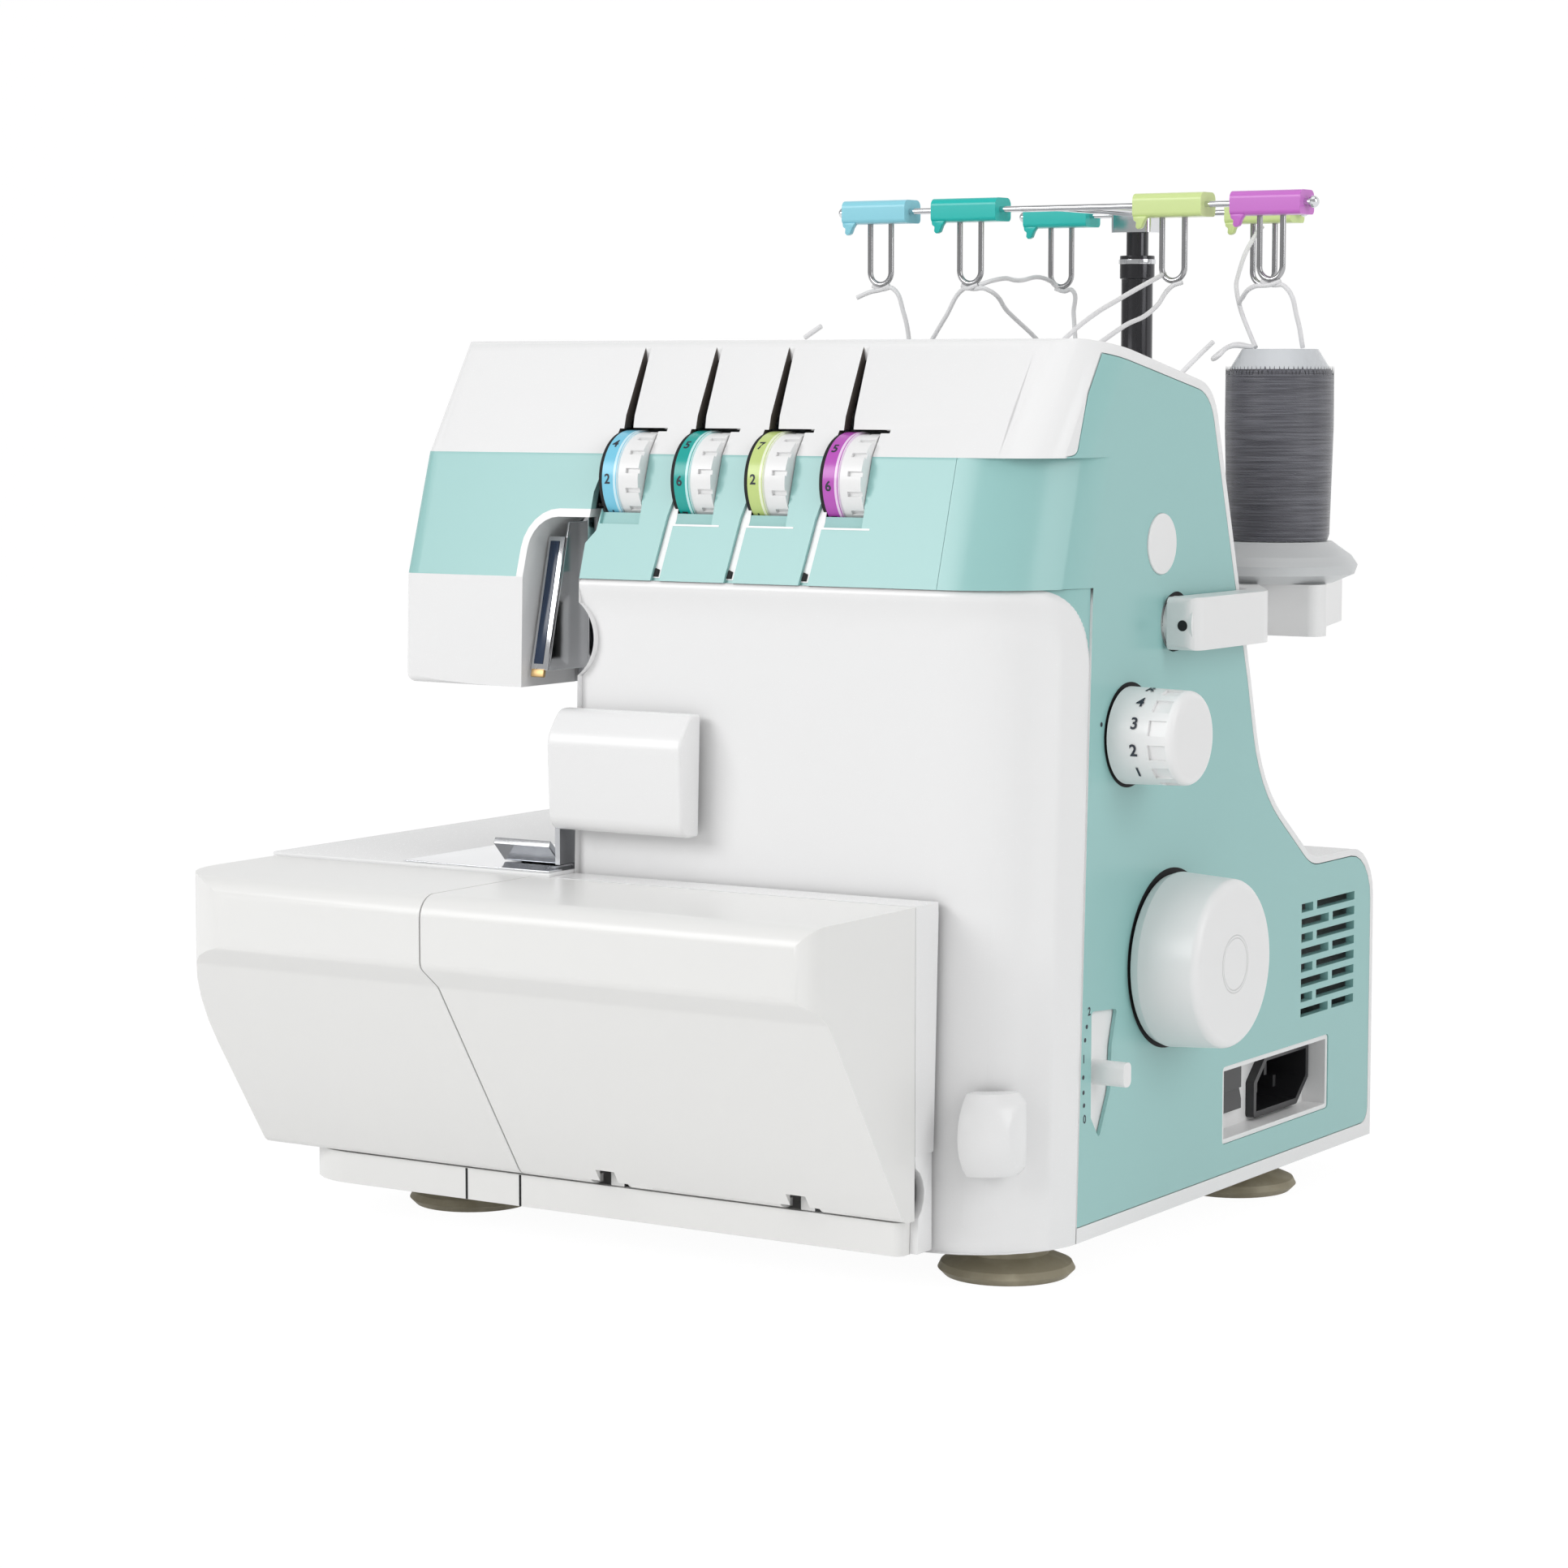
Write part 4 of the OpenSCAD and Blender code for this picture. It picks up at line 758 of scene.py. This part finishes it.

# %% [markdown]
# Wound thread is thousands of fine turns. Their sheen is painted: the colour runs lighter in short streaks along the
# turns. Noise that is squeezed along Z gives both the painted streaks and the ridges. The winding is made slimmer
# towards its foot and ends lower than the solid does, and the reel's rim above it is narrower.

# %% Spool of grey thread
grey_thread = Finish("grey_thread", (0.10, 0.10, 0.12), 0.36, Sheen_Weight=0.08, Sheen_Roughness=0.4)
turns = grey_thread.noise(55, 4, (1, 1, 34))
across = grey_thread.noise(30, 3, (1, 1, 60))
# Painted sheen: the thread's colour runs lighter along short streaks.
painted_sheen_streaks = (turns * 0.65 + across * 0.35).between(0.35, 0.68)
grey_thread.set(Base_Color=grey_thread.mix(painted_sheen_streaks, (0.050, 0.050, 0.064, 1), (0.160, 0.162, 0.188, 1)))
grey_thread.set(Roughness=across * 0.2 + 0.25, Coat_Weight=0.35, Coat_Roughness=0.3)
fine = (grey_thread.axis("Z") * 11500).sine()
grey_thread.bump(fine * 0.35 + turns, 0.00030, 0.7)
core = moulded("spool_core", (0.80, 0.83, 0.86), 0.25, Transmission_Weight=0.25, IOR=1.45)
pin_x, pin_y, bore_r, rim_z = 115, 80.2, 10.5, 283.4
full_spool = soft_edged("spool_3", core, 0.0004)
paint(full_spool, grey_thread,
      lambda x, y, z: math.hypot(x - pin_x, y - pin_y) > bore_r and 220.2 < z < 283.2)
for v in full_spool.data.vertices:
    x, y, z = in_mm(v.co)
    if math.hypot(x - pin_x, y - pin_y) > bore_r:
        wide = 0.80 if z > rim_z else 0.89 + (z - 220) / 63 * 0.165
        x, y = pin_x + (x - pin_x) * wide, pin_y + (y - pin_y) * wide
    v.co = mm(x, y, z - (5.3 if z > rim_z else 6.5 if z > 278 else 0))
print("wound spool:", len(full_spool.data.polygons), "faces")

# %% [markdown]
# Each thread guide is a coloured clip with a hook at its left end, over a bent wire loop.

# %% Thread guide clips
front_row_y, rear_row_y, bar_z = 72.5, 139.5, 331
stand_top = body_of("clips_outer")
front_clips = ((-35, clip_blue), (1, clip_teal), (79, clip_green), (115, clip_magenta))
rear_clips = ((0, clip_teal), (80, clip_green))
outer = soft_edged("clips_outer", clip_blue, 0.0006)
for middle, colour in front_clips:
    paint(outer, colour, lambda x, y, z: abs(x - middle) < 14)
inner = soft_edged("clips_inner", clip_teal, 0.0006)
paint(inner, clip_green, lambda x, y, z: x > 40)
hook = [(-12.6, -3.6), (-7.2, -3.6), (-8.6, -5.4), (-9.4, -7.4), (-10.8, -8.0), (-11.6, -7.2), (-11.4, -5.6),
        (-12.4, -5.0)]
hooked = ([(x, front_row_y, colour) for x, colour in front_clips]
          + [(x, rear_row_y, colour) for x, colour in rear_clips])
for number, (x, y, colour) in enumerate(hooked):
    trim(f"clip_hook_{number}", slab(hook, 2.4, facing_front(x, y - 3.0, bar_z), 0.35), colour, "clip_colours",
         stand_top)
print("clips:", len(hooked))

# %% [markdown]
# Both tubes of the mast are black and bright, with a polished collar where the upper one comes out of the lower.

# %% Mast
soft_edged("mast_lower", black_chrome, 0.0004)
collar = lathe([(5.6, 0), (6.45, 0.1), (6.5, 0.9), (6.45, 1.7), (5.6, 1.8)], "Z", (40, 121.5, 313.0), 48)
trim("mast_collar", collar, chrome, "polished_steel")
print("mast and collar made")

# %% [markdown]
# The plate beside the needles carries a dark strip in a bright frame with a bronze foot, leaning back like the head.

# %% Needle-area strip
navy = moulded("navy_strip", (0.018, 0.035, 0.075), 0.18)
head_lean, frame_thick = math.radians(14), 0.9
strip = plane((-55, -104.3, 180), (1, 0, 0), (0, math.sin(head_lean), math.cos(head_lean)))
on_frame = strip @ Matrix.Translation((0, 0, frame_thick * MM))
for name, outline, thickness, place, edge, material, slot in (
        ("needle_strip_frame", rectangle(-2.9, 1, 3.4, 44.5), frame_thick, strip, 0.25, chrome, "polished_steel"),
        ("needle_strip", rectangle(-1.9, 3, 1.6, 43), 0.25, on_frame, 0.1, navy, "black_plastic"),
        ("needle_strip_foot", rectangle(-2.4, -1.2, 2.6, 1.4), 1.3, strip, 0.3, bronze, "bush_bronze")):
    trim(name, slab(outline, thickness, place, edge), material, slot)
print("needle-area strip made")

# %% [markdown]
# A little loose thread hangs in the guides and runs down to the spools. A strand is a smooth curve with a round
# section, turned into a mesh, and one that joins the stand to the machine rides on neither of them.


# %% Thread strands
strand_white = moulded("loose_thread", (0.80, 0.80, 0.81), 0.5)


def strand(name, points, radius=0.8):
    path = bpy.data.curves.new(name, "CURVE")
    path.dimensions, path.bevel_depth, path.bevel_resolution, path.resolution_u = "3D", radius * MM, 3, 8
    path.use_fill_caps = True
    line = path.splines.new("BEZIER")
    line.bezier_points.add(len(points) - 1)
    for knot, point in zip(line.bezier_points, points):
        knot.co = mm(*point)
        knot.handle_left_type = knot.handle_right_type = "AUTO"
    return shape_of(path)


hanging = {
    "blue_end": [(-31.4, 72.5, 305.6), (-35.1, 72.5, 304.2), (-38.5, 71.0, 303.4), (-43.2, 70.0, 301.5)],
    "teal_across": [(4.5, 72.5, 305.4), (8.5, 74, 306.8), (1.8, 105.0, 307.6), (-3.1, 138, 307.9), (0, 139.5, 305.2)],
}
between = {
    "blue_down": [(-38.3, 72.5, 305.6), (-35, 72.9, 304.4), (-30.1, 72.5, 304.6), (-26.6, 74.0, 296.1),
                  (-26.0, 77.0, 285.5), (-27.4, 80.0, 278.0)],
    "teal_left": [(4.0, 72.5, 305.6), (1, 72.0, 304.4), (-1.8, 72.5, 304.1), (-9.7, 74.0, 294.6), (-20.0, 78.5, 283.6),
                  (-27.2, 83.4, 278.0)],
    "teal_right": [(-2.5, 72.5, 305.4), (1, 73.2, 304.2), (7.2, 72.5, 304.0), (8.2, 86, 296.5), (5.8, 112, 286.7),
                   (3.0, 131.4, 278.0)],
    "rear_down": [(-2.2, 139.5, 305.4), (1.5, 139.2, 304.4), (4.5, 139.5, 304.8), (5.2, 139.5, 296.3),
                  (7.6, 137.1, 284.1), (8.0, 137.8, 278.0)],
    "green_down": [(82.5, 72.5, 305.4), (79, 72.0, 304.2), (76.3, 66.0, 297.5), (77.8, 40.0, 290.6), (79.2, 8.0, 281.2),
                   (79.2, -6, 278.2)],
    "green_back": [(75.5, 73.2, 308.4), (72.4, 50.0, 300.5), (74.6, 20, 292.4), (75.6, -4.0, 283.0), (75.8, -12, 280)],
    "right_long": [(80, 138.2, 326.0), (78.2, 136, 322.5), (80.6, 120.0, 311.3), (92.3, 95.0, 299.4),
                   (102.8, 84.0, 286.6), (105.0, 82.4, 283.8)],
    "magenta_left": [(118.6, 72.5, 305.4), (115, 72.1, 304.2), (108.9, 72.5, 303.7), (100.8, 80.0, 299.9),
                     (92.6, 95.2, 298.6)],
    "magenta_right": [(111.5, 72.5, 305.6), (115, 73.1, 304.2), (120.1, 72.5, 303.6), (123.2, 76.0, 292.8),
                      (123.6, 79.4, 283.6)],
}
resting = {
    "loose_right": [(110.4, 8.0, 270.9), (112.5, 14.0, 275.6), (116.1, 20.0, 281.6), (120.3, 20.0, 285.2)],
    "loose_left": [(4.4, -40, 286.6), (7.0, -40.0, 288.1), (10.6, -40.0, 290.2)],
    "tangle": [(105.6, 78.6, 283.9), (102.0, 72.0, 284.6), (98.5, 66.0, 280.9), (101.0, 61.0, 280.4),
               (102.6, 68, 284.0), (107.6, 74.6, 283.8)],
}
for name, points in hanging.items():
    trim("strand_" + name, strand(name, points), strand_white, "white_thread", stand_top)
for name, points in resting.items():
    trim("strand_" + name, strand(name, points), strand_white, "white_thread")
for name, points in between.items():
    piece = trim("strand_" + name, strand(name, points), strand_white, "white_thread", None)
    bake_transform(piece)
print("strands:", len(hanging) + len(resting) + len(between))

# %% [markdown]
# A pale sweep carries the machine and fades to white for the camera, and three large soft lamps light it evenly.


# %% Floor and light
def sweep():
    """A floor 5 m deep, a quarter turn of 1.5 m radius, and a wall behind it."""
    shape = bmesh.new()
    bmesh.ops.create_grid(shape, x_segments=2, y_segments=40, size=1.0)
    for v in shape.verts:
        x, t = v.co.x * 8, (v.co.y + 1) / 2
        if t < 0.5:
            v.co = Vector((x, -3 + t * 10, 0))
        elif t < 0.8:
            turn = (t - 0.5) / 0.3 * math.pi / 2
            v.co = Vector((x, 2 + 1.5 * math.sin(turn), 1.5 - 1.5 * math.cos(turn)))
        else:
            v.co = Vector((x, 3.5, 1.5 + (t - 0.8) * 20))
    return shape


paper = Finish("paper", (0.93, 0.93, 0.93), 0.9)
rays = paper.node("ShaderNodeLightPath", {})
camera_ray, glossy_ray, passing_ray = rays[0], rays[3], rays[6]
glow = paper.node("ShaderNodeEmission", {}, (1, 1, 1, 1), 1.06)[0]
output = paper.tree.nodes["Material Output"]
surface = Signal(paper, paper.shader.outputs[0])
looking = camera_ray.most(glossy_ray).most(passing_ray)
mixed = paper.node("ShaderNodeMixShader", {}, looking * 0.90, surface, glow)[0]
paper.tree.links.new(mixed.socket, output.inputs["Surface"])
floor = add_piece("floor", sweep(), paper)

world = bpy.data.worlds.new("studio")
bpy.context.scene.world = world
world.use_nodes = True
world.node_tree.nodes["Background"].inputs["Color"].default_value = (1, 1, 1, 1)
world.node_tree.nodes["Background"].inputs["Strength"].default_value = 0.46


def lamp(name, place, aim, size, watts):
    light = bpy.data.lights.new(name, "AREA")
    light.shape, light.size, light.size_y, light.energy = "RECTANGLE", size[0], size[1], watts
    made = bpy.data.objects.new(name, light)
    made.location = place
    made.rotation_euler = (Vector(aim) - Vector(place)).to_track_quat("-Z", "Y").to_euler()
    bpy.context.scene.collection.objects.link(made)


lamp("key_softbox", (-1.0, -2.1, 1.15), (0, 0, 0.15), (1.4, 1.0), 25)
lamp("side_softbox", (1.9, -0.2, 1.0), (0, 0, 0.15), (1.0, 1.4), 11)
lamp("top_softbox", (0.2, -0.3, 2.1), (0, 0, 0.15), (1.6, 1.6), 7)
bpy.context.scene.view_settings.view_transform = "Standard"
print("floor, world and three lamps made")
